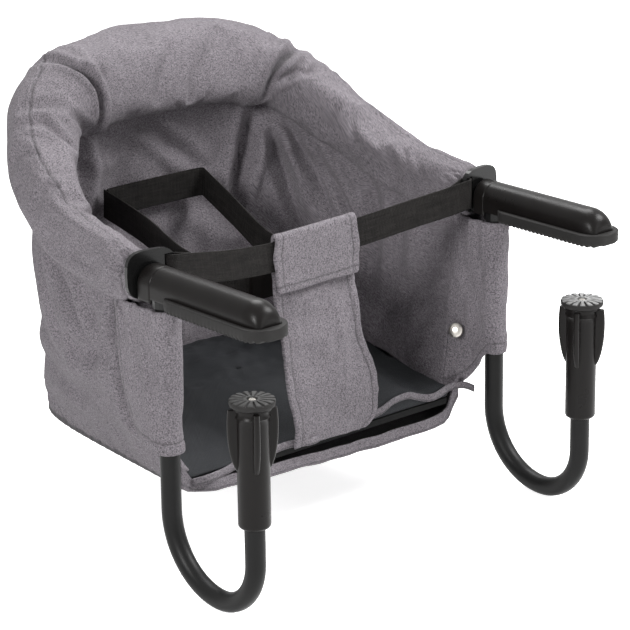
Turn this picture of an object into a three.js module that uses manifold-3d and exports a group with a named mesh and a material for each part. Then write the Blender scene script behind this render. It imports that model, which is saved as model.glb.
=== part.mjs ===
// Hook-on table chair: a fabric seat on a bent tube that hangs on a table top, with two screw clamps.
// Millimetres, +Z up, +Y towards the back rest. z = 0 is the table top, y = 0 the axis of the hook tubes.
import * as THREE from 'three';
import { mergeVertices } from 'three/addons/utils/BufferGeometryUtils.js';
import Module from 'manifold-3d';

const wasm = await Module();
wasm.setup();

// Clearances
const seatGap = 0.3;
const softGap = 0.5;
const overrun = 2;
const mergeReach = 1e-4;

// Frame tube: two arms and the rail that carries the rim
const tubeDiameter = 16;
const tubeWall = 1.5;
const tubeSides = 12;
const frameHalfWidth = 175;
const armReach = 105;
const armHeight = 13;
const railDepth = 243;
const railRise = 102;
const railRisePower = 2.23;
const railSquareness = 3.45;

// Arm cover and toothed pad
const coverHalfWidth = 14.5;
const coverLength = 124;
const coverNose = 17;
const coverTipHalfWidth = 9;
const coverTipHeight = 10;
const padHalfWidth = 20;
const padLip = 10;
const padBase = 4;
const padTipRadius = 16;
const padEdge = 2.2;
const padBack = 13.5;
const toothPitch = 4.5;
const toothDepth = 1.6;

// Connector between the frame tube, the hook and the belt
const collarRadius = 11.5;
const collarLength = 34;
const flangeThickness = 4;
const flangePlace = 16.5;
const flangeHalfWidth = 21.5;
const flangeHalfHeight = 19;
const flangeShift = -1;
const flangeLift = 5.5;
const flangeTurn = -0.13;
const flangeSquareness = 3.4;
const slotInner = 12.6;
const slotWidth = 4;
const slotHeight = 26.6;
const hookRootRadius = 10;
const spigotLength = 42;
const pinRadius = 2.2;
const pinDepth = 22;
const connectorRivetRadius = 2;
const rivetPlace = 28;

// Hook tube
const hookDrop = 168;
const hookRearRadius = 58;
const hookFrontRadius = 43;
const hookBendSteps = 6;
const hookTubeTop = 4;
const hookTubeEnd = 107;
const hookSwing = Math.PI / 2;

// Screw clamp
const restGap = 51;
const footRadius = 17.5;
const footThickness = 5.5;
const footEdge = 0.8;
const footRibs = 16;
const footGrooveDepth = 1.2;
const footGrooveWidth = 1.6;
const footBossRadius = 6;
const knobRadius = 12.5;
const knobBoreRadius = 8.8;
const knobLength = 96;
const knobHead = 12;
const knobNeckRadius = 14.5;
const knobNeckHeight = 9;
const neckLip = 2;
const knobEdge = 3;
const knobTurn = 0.5;
const wingReach = 19.5;
const wingLength = 49;
const wingThickness = 5;
const wingEdge = 1.2;
const wingTopShare = 0.3;
const spindleRadius = 4;
const spindleLength = 102;
const spindleShoulder = 3.5;
const spindleChamfer = 0.8;
const nutLength = 20;
const nutFlange = 2;
const rivetRadius = 2.5;
const rivetHeadRadius = 4;
const rivetHeadDepth = 2.4;
const rivetHeadSink = 0.6;

// Padded rim
const rimStart = 24;
const rimSeamDepth = 196;
const rimSideStations = 9;
const rimBackStations = 12;
const rimArmWidth = 38;
const rimBackWidth = 64;
const rimArmHeight = 43;
const rimBackHeight = 60;
const rimRidge = 3;
const rimRidgeAngle = 1.15;
const rimRidgeSpread = 0.45;
const rimRoundness = 2.3;
const rimCoverWall = 1.8;
const rimSides = 16;
const foamSides = 12;
const rimSeamPinch = 3;
const rimSeamSpread = 14;
const rimNoseShare = 0.86;
const rimNoseLength = 26;

// Fabric body
const clothWall = 2.2;
const bodyFront = 46;
const bodyTopOut = 7;
const bodyBottomHalfWidth = 146;
const bodyBottomDepth = 238;
const bodyBottomSquareness = 8;
const bodyBottom = 168;
const bodyBackLift = 15;
const bodyHang = 3;
const bodySeamShare = 0.36;
const panelColumns = 9;
const panelRows = 6;
const foldDepth = 2.6;
const foldCount = 2;
const liningTopIn = 5;
const liningBottomHalfWidth = 138;
const liningBottomDepth = 208;
const liningBottomSquareness = 5;
const liningHang = 3;
const liningColumns = 24;

// Seat
const seatFront = 20;
const seatPoints = 24;
const bottomCloth = 1.6;
const boardThickness = 5;
const seatPad = 20;
const seatSideGap = 5;
const seatPadInset = 3;
const seatShoulder = 9;
const seatCrown = 4;
const seatCrownShare = 0.6;
const bandHeight = 10;
const hemHeight = 9;
const hemHalfWidth = 128;
const hemWave = 2.5;
const hemColumns = 14;

// Tube sleeves
const sleeveWall = 2;
const sleeveRows = 6;
const sleeveBottom = 121;
const studRadius = 6.5;
const studHeight = 2.6;
const studEdgeShare = 0.3;
const studBack = 29;
const studDepth = 106;

// Belt and crotch panel
const strapWidth = 25;
const strapThickness = 1.5;
const beltSag = 12;
const beltBow = 17;
const beltTail = 16;
const crotchHalfWidth = 46;
const crotchWall = 3;
const crotchFlap = 34;
const crotchBottom = 160;

// Waist strap and its buckle
const waistLeft = -60;
const waistRight = 46;
const waistHeight = 8;
const waistFall = 35;
const buckleFront = 56;
const buckleThickness = 9;
const buckleHalfHeight = 15;
const buckleWall = 1.6;
const buckleSocketLength = 30;
const buckleMiddle = -32;
const buckleThroat = 20;
const buckleFrame = 10;
const prongLength = 17;
const prongHalfHeight = 11;
const prongWidth = 3;

const tubeRadius = tubeDiameter / 2;
const tubeBore = tubeRadius - tubeWall;
const beltHeight = armHeight + flangeLift;
const up = new THREE.Vector3(0, 0, 1);

const materials = {
  steel: new THREE.MeshStandardMaterial({ color: 0x262524, roughness: 0.35, metalness: 0.5 }),
  moulding: new THREE.MeshStandardMaterial({ color: 0x343231, roughness: 0.55, metalness: 0 }),
  gloss: new THREE.MeshStandardMaterial({ color: 0x1a1a1a, roughness: 0.25, metalness: 0 }),
  rubber: new THREE.MeshStandardMaterial({ color: 0x3b3938, roughness: 0.8, metalness: 0 }),
  zinc: new THREE.MeshStandardMaterial({ color: 0xc9c6bd, roughness: 0.25, metalness: 1 }),
  foam: new THREE.MeshStandardMaterial({ color: 0xd8d5cc, roughness: 0.95, metalness: 0 }),
  melange: new THREE.MeshStandardMaterial({ color: 0x77747d, roughness: 0.9, metalness: 0 }),
  nylon: new THREE.MeshStandardMaterial({ color: 0x3b3d42, roughness: 0.7, metalness: 0 }),
  webbing: new THREE.MeshStandardMaterial({ color: 0x1f1e1d, roughness: 0.8, metalness: 0 }),
  board: new THREE.MeshStandardMaterial({ color: 0x151515, roughness: 0.8, metalness: 0 }),
};

// Geometry helpers

function closedMesh(points, triangles) {
  const geometry = new THREE.BufferGeometry();
  geometry.setAttribute('position', new THREE.Float32BufferAttribute(points.flatMap((p) => p.toArray()), 3));
  geometry.setIndex(triangles.flat());
  return geometry;
}

// The same surface with its shared points merged and its faces pointing out.
function facedOut(geometry) {
  const bare = geometry.clone();
  ['normal', 'uv'].forEach((name) => bare.deleteAttribute(name));
  const merged = mergeVertices(bare, mergeReach);
  const place = merged.attributes.position;
  const corner = (i) => new THREE.Vector3().fromBufferAttribute(place, i);
  const triangles = [];
  let volume = 0;
  for (let i = 0; i < merged.index.count; i += 3) {
    const [a, b, c] = [0, 1, 2].map((step) => merged.index.getX(i + step));
    if (a !== b && b !== c && c !== a) {
      triangles.push([a, b, c]);
      volume += corner(a).dot(corner(b).cross(corner(c)));
    }
  }
  merged.setIndex((volume < 0 ? triangles.map(([a, b, c]) => [a, c, b]) : triangles).flat());
  return merged;
}

// Skin through a row of closed rings with flat ends, or joined end to end when loop is set.
function skin(rings, loop = false) {
  const count = rings[0].length;
  const points = rings.flat();
  const triangles = [];
  const bands = loop ? rings.length : rings.length - 1;
  for (let i = 0; i < bands; i += 1) {
    const here = i * count;
    const next = ((i + 1) % rings.length) * count;
    for (let j = 0; j < count; j += 1) {
      const k = (j + 1) % count;
      triangles.push([here + j, next + j, next + k], [here + j, next + k, here + k]);
    }
  }
  if (!loop) {
    for (const [index, flip] of [[0, true], [rings.length - 1, false]]) {
      const centre = new THREE.Vector3();
      rings[index].forEach((p) => centre.addScaledVector(p, 1 / count));
      points.push(centre);
      for (let j = 0; j < count; j += 1) {
        const a = index * count + j;
        const b = index * count + ((j + 1) % count);
        triangles.push(flip ? [a, b, points.length - 1] : [b, a, points.length - 1]);
      }
    }
  }
  return closedMesh(points, triangles);
}

// A sheet with thickness: two grids of the same size, joined round their four edges.
function sheet(outer, inner) {
  const rings = outer.map((row, i) => [...row, ...[...inner[i]].reverse()]);
  const count = rings[0].length;
  const points = rings.flat();
  const triangles = [];
  for (let i = 0; i < rings.length - 1; i += 1) {
    for (let j = 0; j < count; j += 1) {
      const a = i * count + j;
      const b = i * count + ((j + 1) % count);
      triangles.push([a, a + count, b + count], [a, b + count, b]);
    }
  }
  for (const [index, flip] of [[0, true], [rings.length - 1, false]]) {
    for (let j = 0; j < count / 2 - 1; j += 1) {
      const a = index * count + j;
      const c = index * count + (count - 2 - j);
      const corners = [a, a + 1, c, c + 1];
      triangles.push(...(flip ? [[corners[0], corners[1], corners[2]], [corners[0], corners[2], corners[3]]]
        : [[corners[0], corners[2], corners[1]], [corners[0], corners[3], corners[2]]]));
    }
  }
  return closedMesh(points, triangles);
}

function toSolid(geometry) {
  const merged = facedOut(geometry);
  return new wasm.Manifold(new wasm.Mesh({
    numProp: 3,
    vertProperties: Float32Array.from(merged.attributes.position.array),
    triVerts: Uint32Array.from(merged.index.array),
  }));
}

function toGeometry(solid) {
  const mesh = solid.getMesh();
  const geometry = new THREE.BufferGeometry();
  geometry.setAttribute('position', new THREE.BufferAttribute(Float32Array.from(mesh.vertProperties), 3));
  geometry.setIndex(new THREE.BufferAttribute(Uint32Array.from(mesh.triVerts), 1));
  return geometry;
}

function cut(geometry, ...tools) {
  return toGeometry(tools.reduce((solid, tool) => solid.subtract(toSolid(tool)), toSolid(geometry)));
}

function join(geometry, ...others) {
  return toGeometry(others.reduce((solid, other) => solid.add(toSolid(other)), toSolid(geometry)));
}

function common(a, b) {
  return toGeometry(toSolid(a).intersect(toSolid(b)));
}

// A round bar between two points. A bore's facets are pushed out so that a round of that radius fits in.
function bar(from, to, radius, sides = 20, bore = false) {
  const length = from.distanceTo(to);
  const reach = bore ? radius / Math.cos(Math.PI / sides) : radius;
  const geometry = new THREE.CylinderGeometry(reach, reach, length, sides);
  const turn = new THREE.Quaternion().setFromUnitVectors(
    new THREE.Vector3(0, 1, 0), to.clone().sub(from).normalize());
  geometry.applyQuaternion(turn);
  const middle = from.clone().lerp(to, 0.5);
  return geometry.translate(middle.x, middle.y, middle.z);
}

const at = (x, y, z) => new THREE.Vector3(x, y, z);

function extrude(shape, depth, options = {}) {
  return new THREE.ExtrudeGeometry(shape, { depth, bevelEnabled: false, curveSegments: 8, ...options });
}

// A shape drawn in X and Z, run along Y from the given place.
function extrudeAlongY(shape, depth, from, options = {}) {
  const geometry = extrude(shape, depth, options);
  geometry.rotateX(Math.PI / 2);
  return geometry.translate(0, from + depth, 0);
}

// A shape drawn in Y and Z, run along X from the given place.
function extrudeAlongX(shape, depth, from) {
  const geometry = extrude(shape, depth);
  geometry.applyMatrix4(new THREE.Matrix4().makeBasis(at(0, 1, 0), at(0, 0, 1), at(1, 0, 0)));
  return geometry.translate(from, 0, 0);
}

function roundedBox(halfX, halfY, radius) {
  const shape = new THREE.Shape();
  const straightX = halfX - radius;
  const straightY = halfY - radius;
  shape.absarc(straightX, straightY, radius, 0, Math.PI / 2);
  shape.absarc(-straightX, straightY, radius, Math.PI / 2, Math.PI);
  shape.absarc(-straightX, -straightY, radius, Math.PI, 1.5 * Math.PI);
  shape.absarc(straightX, -straightY, radius, 1.5 * Math.PI, 2 * Math.PI);
  return shape;
}

// The rail: a superellipse in plan that climbs towards the back.
function planPoint(angle, halfWidth, depth, squareness) {
  const cos = Math.cos(angle);
  const power = 2 / squareness;
  return [
    -halfWidth * Math.sign(cos) * Math.abs(cos) ** power,
    depth * Math.abs(Math.sin(angle)) ** power,
  ];
}

// Share of the whole climb at a place along Y: the rail stays level inside the connector's collar.
const climb = (y) => (Math.max(y - collarLength, 0) / (railDepth - collarLength)) ** railRisePower;
const railHeight = (y) => armHeight + railRise * climb(y);

class PlanCurve extends THREE.Curve {
  constructor(halfWidth, depth, squareness, height) {
    super();
    this.shape = [halfWidth, depth, squareness];
    this.height = height;
  }

  getPoint(t) {
    const [x, y] = planPoint(Math.PI * t, ...this.shape);
    return at(x, y, this.height(y));
  }
}

const rail = new PlanCurve(frameHalfWidth, railDepth, railSquareness, railHeight);
rail.arcLengthDivisions = 800;

// Outward and upward directions of a plan curve at a share of its length.
function planFrame(curve, share) {
  const point = curve.getPointAt(share);
  const tangent = curve.getTangentAt(share);
  const out = at(-tangent.y, tangent.x, 0).normalize();
  return { point, out, rise: new THREE.Vector3().crossVectors(tangent, out).normalize() };
}

// Share of a plan curve's length at which its left side reaches a given y.
function shareAtDepth(curve, y) {
  let low = 0;
  let high = 0.5;
  for (let i = 0; i < 40; i += 1) {
    const middle = (low + high) / 2;
    if (curve.getPointAt(middle).y < y) low = middle;
    else high = middle;
  }
  return low;
}

const spread = (from, to, count) => Array.from({ length: count + 1 }, (_, i) => from + ((to - from) * i) / count);
const mix = (a, b, share) => a + (b - a) * share;
const circle = (count, call) => Array.from({ length: count }, (_, i) => call((2 * Math.PI * i) / count));

const model = new THREE.Group();

function add(name, geometry, material) {
  const mesh = new THREE.Mesh(facedOut(geometry), materials[material]);
  mesh.name = name;
  model.add(mesh);
  return mesh;
}

// A piece drawn for the right side round the arm's axis, outwards along +X, set on both sides.
function addPair(name, geometry, material) {
  const mirrored = geometry.clone().applyMatrix4(new THREE.Matrix4().makeScale(-1, 1, 1));
  add(`${name}_right`, geometry, material).position.x = frameHalfWidth;
  add(`${name}_left`, mirrored, material).position.x = -frameHalfWidth;
}

// Frame tube: one ring of points round the rail or an arm.
function ringRound({ point, out, rise }, across, high, sides) {
  return circle(sides, (angle) => point.clone()
    .addScaledVector(out, across * Math.cos(angle)).addScaledVector(rise, high * Math.sin(angle)));
}

const rimShare = shareAtDepth(rail, rimStart);
const seamShare = shareAtDepth(rail, rimSeamDepth);
const railShares = [
  ...spread(rimShare, seamShare, rimSideStations),
  ...spread(seamShare, 1 - seamShare, rimBackStations).slice(1),
  ...spread(1 - seamShare, 1 - rimShare, rimSideStations).slice(1),
];

function buildFrameTube() {
  const armEnd = (side) => ({ point: at(side * frameHalfWidth, -armReach, armHeight), out: at(side, 0, 0), rise: up });
  const stations = [armEnd(-1), ...railShares.map((share) => planFrame(rail, share)), armEnd(1)];
  const outer = stations.map((station) => ringRound(station, tubeRadius, tubeRadius, tubeSides));
  const inner = stations.map((station) => ringRound(station, tubeBore, tubeBore, tubeSides));
  const tube = skin([...outer, ...inner.reverse()], true);
  const holes = [-1, 1].map((side) => {
    const reach = tubeRadius + overrun;
    const centre = side * frameHalfWidth;
    return bar(at(centre - reach, rivetPlace, armHeight), at(centre + reach, rivetPlace, armHeight),
      connectorRivetRadius + seatGap, 12);
  });
  add('frame_tube', cut(tube, ...holes), 'steel');
}

// Arm: a half-round cover over the tube with a sloping nose, in a lipped pad with a toothed sole.
const coverFloor = padBase + seatGap;
const coverTop = armHeight + coverHalfWidth;
const noseStart = coverLength - coverNose;

function coverSection(y) {
  const share = Math.min(Math.max((-y - noseStart) / coverNose, 0), 1);
  const fall = 1 - Math.sqrt(1 - share ** 2);
  return {
    half: coverHalfWidth - (coverHalfWidth - coverTipHalfWidth) * fall,
    top: coverTop - (coverTop - coverFloor - coverTipHeight) * fall,
  };
}

function coverPlaces() {
  const nose = spread(0, Math.PI / 2, 4).map((angle) => -noseStart - coverNose * Math.sin(angle));
  return [-seatGap, ...nose];
}

function buildArmCover() {
  const rings = coverPlaces().map((y) => {
    const { half, top } = coverSection(y);
    const spring = Math.max(top - half, coverFloor + seatGap);
    const arch = spread(0, Math.PI, 10).map((angle) => (
      at(half * Math.cos(angle), y, spring + (top - spring) * Math.sin(angle))));
    return [...arch, at(-half, y, coverFloor), at(half, y, coverFloor)];
  });
  const bore = bar(at(0, overrun, armHeight), at(0, -armReach - seatGap, armHeight),
    tubeRadius + seatGap, 2 * tubeSides, true);
  addPair('arm_cover', cut(skin(rings), bore), 'moulding');
}

function buildTablePad() {
  const front = -coverLength - (padHalfWidth - coverHalfWidth) - seatGap;
  const middle = (front - padBack) / 2;
  const halfLength = (-padBack - front) / 2;
  const plan = roundedBox(padHalfWidth - padEdge, halfLength - padEdge, padTipRadius - padEdge);
  const block = extrude(plan, padLip - padEdge, {
    bevelEnabled: true, bevelThickness: padEdge, bevelSize: padEdge, bevelSegments: 2, curveSegments: 5,
  });
  block.translate(0, middle, 0);
  const teeth = Math.round((2 * halfLength) / toothPitch);
  const pitch = (2 * halfLength) / teeth;
  const side = new THREE.Shape();
  side.moveTo(-padBack + overrun, padLip);
  side.lineTo(-padBack + overrun, 0);
  for (let i = 0; i < teeth; i += 1) {
    side.lineTo(-padBack - pitch * i, 0);
    side.lineTo(-padBack - pitch * (i + 0.5), toothDepth);
  }
  side.lineTo(front - overrun, 0);
  side.lineTo(front - overrun, padLip);
  const toothed = common(block, extrudeAlongX(side, 2 * padHalfWidth, -padHalfWidth));
  const tray = skin([overrun, ...coverPlaces()].map((y, i, places) => {
    const half = coverSection(Math.min(y, 0)).half + seatGap;
    const end = i === places.length - 1 ? y - seatGap : y;
    return [at(half, end, padBase), at(half, end, padLip + overrun),
      at(-half, end, padLip + overrun), at(-half, end, padBase)];
  }));
  addPair('table_pad', cut(toothed, tray), 'rubber');
}

// Connector: a collar on the frame tube, the belt's flange and the spigot that the hook tube turns on.
function flangeTool(shape, thickness) {
  const plate = extrudeAlongY(shape, thickness, -thickness / 2);
  plate.rotateZ(-flangeTurn);
  return plate.translate(0, flangePlace + flangeThickness / 2, armHeight);
}

function flangeOutline() {
  const shape = new THREE.Shape();
  const power = 2 / flangeSquareness;
  circle(28, (angle) => {
    const cos = Math.cos(angle);
    const sin = Math.sin(angle);
    const x = flangeShift + flangeHalfWidth * Math.sign(cos) * Math.abs(cos) ** power;
    const z = flangeLift + flangeHalfHeight * Math.sign(sin) * Math.abs(sin) ** power;
    if (angle === 0) shape.moveTo(x, z);
    else shape.lineTo(x, z);
    return angle;
  });
  return shape;
}

function slotOutline() {
  const shape = new THREE.Shape();
  const near = -slotInner;
  const far = -slotInner - slotWidth;
  const half = slotHeight / 2;
  [[near, -half], [near, half], [far, half], [far, -half]].forEach(([x, z], i) => {
    if (i === 0) shape.moveTo(x, z + flangeLift);
    else shape.lineTo(x, z + flangeLift);
  });
  return shape;
}

function buildConnector() {
  const collar = bar(at(0, 0, armHeight), at(0, collarLength, armHeight), collarRadius, 20);
  const flange = flangeTool(flangeOutline(), flangeThickness);
  const rootTop = coverFloor - seatGap;
  const root = bar(at(0, 0, -hookTubeTop + seatGap), at(0, 0, rootTop), hookRootRadius, 16);
  const neck = bar(at(0, 0, -hookTubeTop + seatGap), at(0, 0, armHeight), hookRootRadius, 16);
  const forward = new THREE.BoxGeometry(2 * collarRadius, collarRadius, 2 * armHeight);
  forward.translate(0, -collarRadius / 2, rootTop + armHeight);
  const spigot = bar(at(0, 0, 0), at(0, 0, -spigotLength), tubeBore - seatGap, 16);
  const body = join(cut(neck, forward), root, spigot, collar, flange);
  const bore = bar(at(0, -overrun - hookRootRadius, armHeight), at(0, collarLength + overrun, armHeight),
    tubeRadius + seatGap, 2 * tubeSides, true);
  const pinHole = bar(at(-tubeRadius, 0, -pinDepth), at(tubeRadius, 0, -pinDepth), pinRadius + seatGap, 12);
  const rivetHole = bar(at(-collarRadius - overrun, rivetPlace, armHeight),
    at(collarRadius + overrun, rivetPlace, armHeight), connectorRivetRadius + seatGap, 12);
  const slot = flangeTool(slotOutline(), flangeThickness + 2 * overrun);
  addPair('connector', cut(body, bore, pinHole, rivetHole, slot), 'gloss');
  const rivetReach = collarRadius - seatGap;
  addPair('connector_rivet', bar(at(-rivetReach, rivetPlace, armHeight), at(rivetReach, rivetPlace, armHeight),
    connectorRivetRadius, 12), 'zinc');
  const pinReach = tubeRadius - seatGap;
  addPair('swivel_pin', bar(at(-pinReach, 0, -pinDepth), at(pinReach, 0, -pinDepth), pinRadius, 12), 'zinc');
}

// Hook tube: a long leg down, a wide bend under the table's edge and a tighter one up to the clamp.
const hookReach = hookRearRadius + hookFrontRadius;
const hookFloor = -hookDrop - hookRearRadius;

function hookStations() {
  const stations = [
    { y: 0, z: -hookTubeTop, angle: 0 },
    { y: 0, z: -hookDrop, angle: 0 },
  ];
  spread(0, Math.PI / 2, hookBendSteps).slice(1).forEach((angle) => stations.push({
    y: -hookRearRadius * (1 - Math.cos(angle)), z: -hookDrop - hookRearRadius * Math.sin(angle), angle,
  }));
  spread(Math.PI / 2, Math.PI, hookBendSteps).slice(1).forEach((angle) => stations.push({
    y: -hookRearRadius + hookFrontRadius * Math.cos(angle),
    z: hookFloor + hookFrontRadius - hookFrontRadius * Math.sin(angle),
    angle,
  }));
  stations.push({ y: -hookReach, z: -hookTubeEnd, angle: Math.PI });
  return stations.map(({ y, z, angle }) => ({
    point: at(0, y, z), out: at(1, 0, 0), rise: at(0, Math.cos(angle), -Math.sin(angle)),
  }));
}

// The opening in the tube's wall that lets it turn past the fixed pin, one quarter turn.
function swingSlot(start) {
  const half = Math.asin((pinRadius + 2 * seatGap) / tubeBore);
  const shape = new THREE.Shape();
  shape.absarc(0, 0, tubeRadius + overrun, start - half, start + hookSwing + half, false);
  shape.absarc(0, 0, tubeBore / 2, start + hookSwing + half, start - half, true);
  const height = 2 * (pinRadius + seatGap);
  return extrude(shape, height, { curveSegments: 10 }).translate(0, 0, -pinDepth - height / 2);
}

function buildHook() {
  const stations = hookStations();
  const outer = stations.map((station) => ringRound(station, tubeRadius, tubeRadius, tubeSides));
  const inner = stations.map((station) => ringRound(station, tubeBore, tubeBore, tubeSides));
  const tube = skin([...outer, ...inner.reverse()], true);
  addPair('hook_tube', cut(tube, swingSlot(0), swingSlot(Math.PI)), 'steel');
}

// Screw clamp: nut in the tube's end, spindle with a peened head, winged knob and ribbed swivel foot.
function turned(profile, segments) {
  const loop = profile[0][0] > 0 ? [...profile, profile[0]] : profile;
  const geometry = new THREE.LatheGeometry(loop.map(([r, z]) => new THREE.Vector2(r, z)), segments);
  return geometry.rotateX(Math.PI / 2).translate(0, -hookReach, 0);
}

const knobTop = -restGap - footThickness - seatGap;

function wing(angle) {
  const shape = new THREE.Shape();
  const rise = wingReach - knobRadius + overrun;
  const core = knobRadius - overrun;
  shape.moveTo(0, -overrun);
  shape.lineTo(core, -overrun);
  spread(0, 1, 7).forEach((share) => {
    const z = -overrun - wingLength * share;
    shape.lineTo(core + rise * Math.sqrt(Math.sin(Math.PI * mix(wingTopShare, 1, share))), z);
  });
  shape.lineTo(0, -overrun - wingLength);
  const geometry = extrude(shape, wingThickness - 2 * wingEdge, {
    bevelEnabled: true, bevelThickness: wingEdge, bevelSize: wingEdge, bevelOffset: -wingEdge, bevelSegments: 1,
  });
  geometry.translate(0, 0, wingEdge - wingThickness / 2);
  geometry.rotateX(Math.PI / 2);
  geometry.rotateZ(angle);
  return geometry.translate(0, -hookReach, knobTop);
}

function buildKnob() {
  const foot = knobTop - knobLength;
  const neck = knobTop - knobNeckHeight;
  const ceiling = knobTop - knobHead;
  const shoulder = knobTop - spindleShoulder;
  const profile = [
    [rivetRadius + seatGap, knobTop],
    [knobNeckRadius, knobTop],
    [knobNeckRadius, knobTop - neckLip],
    [knobRadius, neck],
    ...spread(0, Math.PI / 2, 2).map((angle) => [
      knobRadius - knobEdge * (1 - Math.cos(angle)), foot + knobEdge * (1 - Math.sin(angle))]),
    [knobBoreRadius, foot],
    [knobBoreRadius, ceiling],
    [spindleRadius + seatGap, ceiling],
    [spindleRadius + seatGap, shoulder],
    [rivetRadius + seatGap, shoulder],
  ];
  const wings = circle(4, (angle) => wing(angle + knobTurn));
  addPair('knob', join(turned(profile, 20), ...wings.map((piece) => cut(piece, knobCore()))), 'moulding');
}

// What the wings must leave free inside the knob.
function knobCore() {
  return bar(at(0, -hookReach, knobTop + overrun), at(0, -hookReach, knobTop - knobLength),
    (knobRadius + knobBoreRadius) / 2, 20);
}

function buildFoot() {
  const base = -restGap - footThickness;
  const top = -restGap;
  const profile = [
    [rivetRadius + seatGap, base],
    [footRadius - footEdge, base],
    [footRadius, top - footEdge],
    [footRadius - footEdge, top],
    [rivetHeadRadius + seatGap, top],
    [rivetHeadRadius + seatGap, top - rivetHeadDepth - seatGap],
    [rivetRadius + seatGap, top - rivetHeadDepth - seatGap],
  ];
  const length = footRadius - footEdge - footBossRadius;
  const grooves = circle(footRibs, (angle) => {
    const groove = new THREE.BoxGeometry(length, footGrooveWidth, 2 * footGrooveDepth);
    groove.translate(footBossRadius + length / 2, 0, 0).rotateZ(angle + Math.PI / footRibs);
    return groove.translate(0, -hookReach, top);
  });
  addPair('foot', cut(turned(profile, 2 * footRibs), ...grooves), 'rubber');
}

function buildSpindle() {
  const bottom = knobTop - spindleLength;
  const shoulder = knobTop - spindleShoulder - seatGap;
  const headTop = -restGap - rivetHeadSink;
  const headBase = -restGap - rivetHeadDepth;
  const profile = [
    [0, bottom],
    [spindleRadius - spindleChamfer, bottom],
    [spindleRadius, bottom + spindleChamfer],
    [spindleRadius, shoulder],
    [rivetRadius, shoulder],
    [rivetRadius, headBase],
    [rivetHeadRadius, headBase],
    [rivetRadius, headTop],
    [0, headTop],
  ];
  addPair('clamp_spindle', turned(profile, 16), 'zinc');
}

function buildNut() {
  const flange = -hookTubeEnd + seatGap;
  const profile = [
    [spindleRadius + seatGap, -hookTubeEnd - nutLength],
    [tubeBore - seatGap, -hookTubeEnd - nutLength],
    [tubeBore - seatGap, flange],
    [tubeRadius, flange],
    [tubeRadius, flange + nutFlange],
    [spindleRadius + seatGap, flange + nutFlange],
  ];
  addPair('spindle_nut', turned(profile, 20), 'moulding');
}

// Padded rim: a foam sleeve on the rail under a sewn cover of three lengths.
const rimHalfHeight = (y) => mix(rimArmHeight, rimBackHeight, climb(y)) / 2;
const rimHalfWidth = (y) => mix(rimArmWidth, rimBackWidth, climb(y)) / 2;

function rimRing(share, inset, sides = rimSides, ridgeHeight = rimRidge) {
  const station = planFrame(rail, share);
  const { y } = station.point;
  const toSeam = Math.min(Math.abs(share - seamShare), Math.abs(1 - seamShare - share)) * rail.getLength();
  const pinch = rimSeamPinch * Math.exp(-((toSeam / rimSeamSpread) ** 2));
  const nose = mix(rimNoseShare, 1, Math.min((y - rimStart) / rimNoseLength, 1));
  return circle(sides, (angle) => {
    const cos = Math.cos(angle);
    const sin = Math.sin(angle);
    const power = 2 / rimRoundness;
    const ridge = ridgeHeight * Math.exp(-(((angle - rimRidgeAngle) / rimRidgeSpread) ** 2));
    const across = rimHalfWidth(y) * nose * Math.sign(cos) * Math.abs(cos) ** power;
    const high = rimHalfHeight(y) * nose * Math.sign(sin) * Math.abs(sin) ** power;
    const less = ridge - pinch - inset;
    return station.point.clone().addScaledVector(station.out, across + less * cos)
      .addScaledVector(station.rise, high + less * sin);
  });
}

function buildRim() {
  const lift = rimCoverWall + 2 * softGap;
  const step = (rimSeamDepth - rimStart) / rimSideStations;
  const outer = railShares.map((share) => rimRing(share, lift, foamSides, 0));
  const bore = railShares.map((share) => {
    const station = planFrame(rail, share);
    const radius = (station.point.y < collarLength + step ? collarRadius : tubeRadius) + softGap;
    return ringRound(station, radius, radius, foamSides);
  });
  add('rim_foam', skin([...outer, ...bore.reverse()], true), 'foam');
  const edge = seatGap / 2 / rail.getLength();
  const lengths = [
    ['rim_cover_left', railShares.slice(0, rimSideStations + 1)],
    ['rim_cover_back', railShares.slice(rimSideStations, rimSideStations + rimBackStations + 1)],
    ['rim_cover_right', railShares.slice(rimSideStations + rimBackStations)],
  ];
  for (const [name, shares] of lengths) {
    const trimmed = shares.map((share, i) => {
      if (i === 0) return share + edge;
      return i === shares.length - 1 ? share - edge : share;
    });
    const skinOut = trimmed.map((share) => rimRing(share, 0));
    const skinIn = trimmed.map((share) => rimRing(share, rimCoverWall));
    add(name, skin([...skinOut, ...skinIn.reverse()], true), 'melange');
  }
}

// Fabric body: walls that hang from the rim's underside to a smaller outline at the floor.
const floorHeight = (y) => -bodyBottom + (bodyBackLift * y) / bodyBottomDepth;
const bodyFloor = new PlanCurve(bodyBottomHalfWidth, bodyBottomDepth, bodyBottomSquareness, floorHeight);
bodyFloor.arcLengthDivisions = 800;
const seatTop = bottomCloth + boardThickness + seatPad + 2 * softGap;
const liningFloor = new PlanCurve(liningBottomHalfWidth, liningBottomDepth, liningBottomSquareness,
  (y) => floorHeight(y) + seatTop + seatCrown * seatCrownShare / 2 + softGap);
liningFloor.arcLengthDivisions = 800;

// The rim's underside at a place across it, with the cloth's gap.
function rimUnderside(y, across) {
  const half = rimHalfWidth(y);
  const share = Math.abs(across) / half;
  return rimHalfHeight(y) * (1 - share ** rimRoundness) ** (1 / rimRoundness) + softGap;
}

function wallPoint(wall, u, v, offset) {
  const topShare = mix(wall.topStart, 1 - wall.topStart, u);
  const floorShare = mix(wall.floorStart, 1 - wall.floorStart, u);
  const top = planFrame(rail, topShare);
  const floor = planFrame(wall.floor, floorShare);
  const from = top.point.clone().addScaledVector(top.out, wall.out + offset);
  from.z -= rimUnderside(top.point.y, wall.out) / top.rise.z;
  const to = floor.point.clone().addScaledVector(floor.out, offset);
  const hang = v ** wall.hang;
  return at(mix(from.x, to.x, hang), mix(from.y, to.y, hang), mix(from.z, to.z, v));
}

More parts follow.
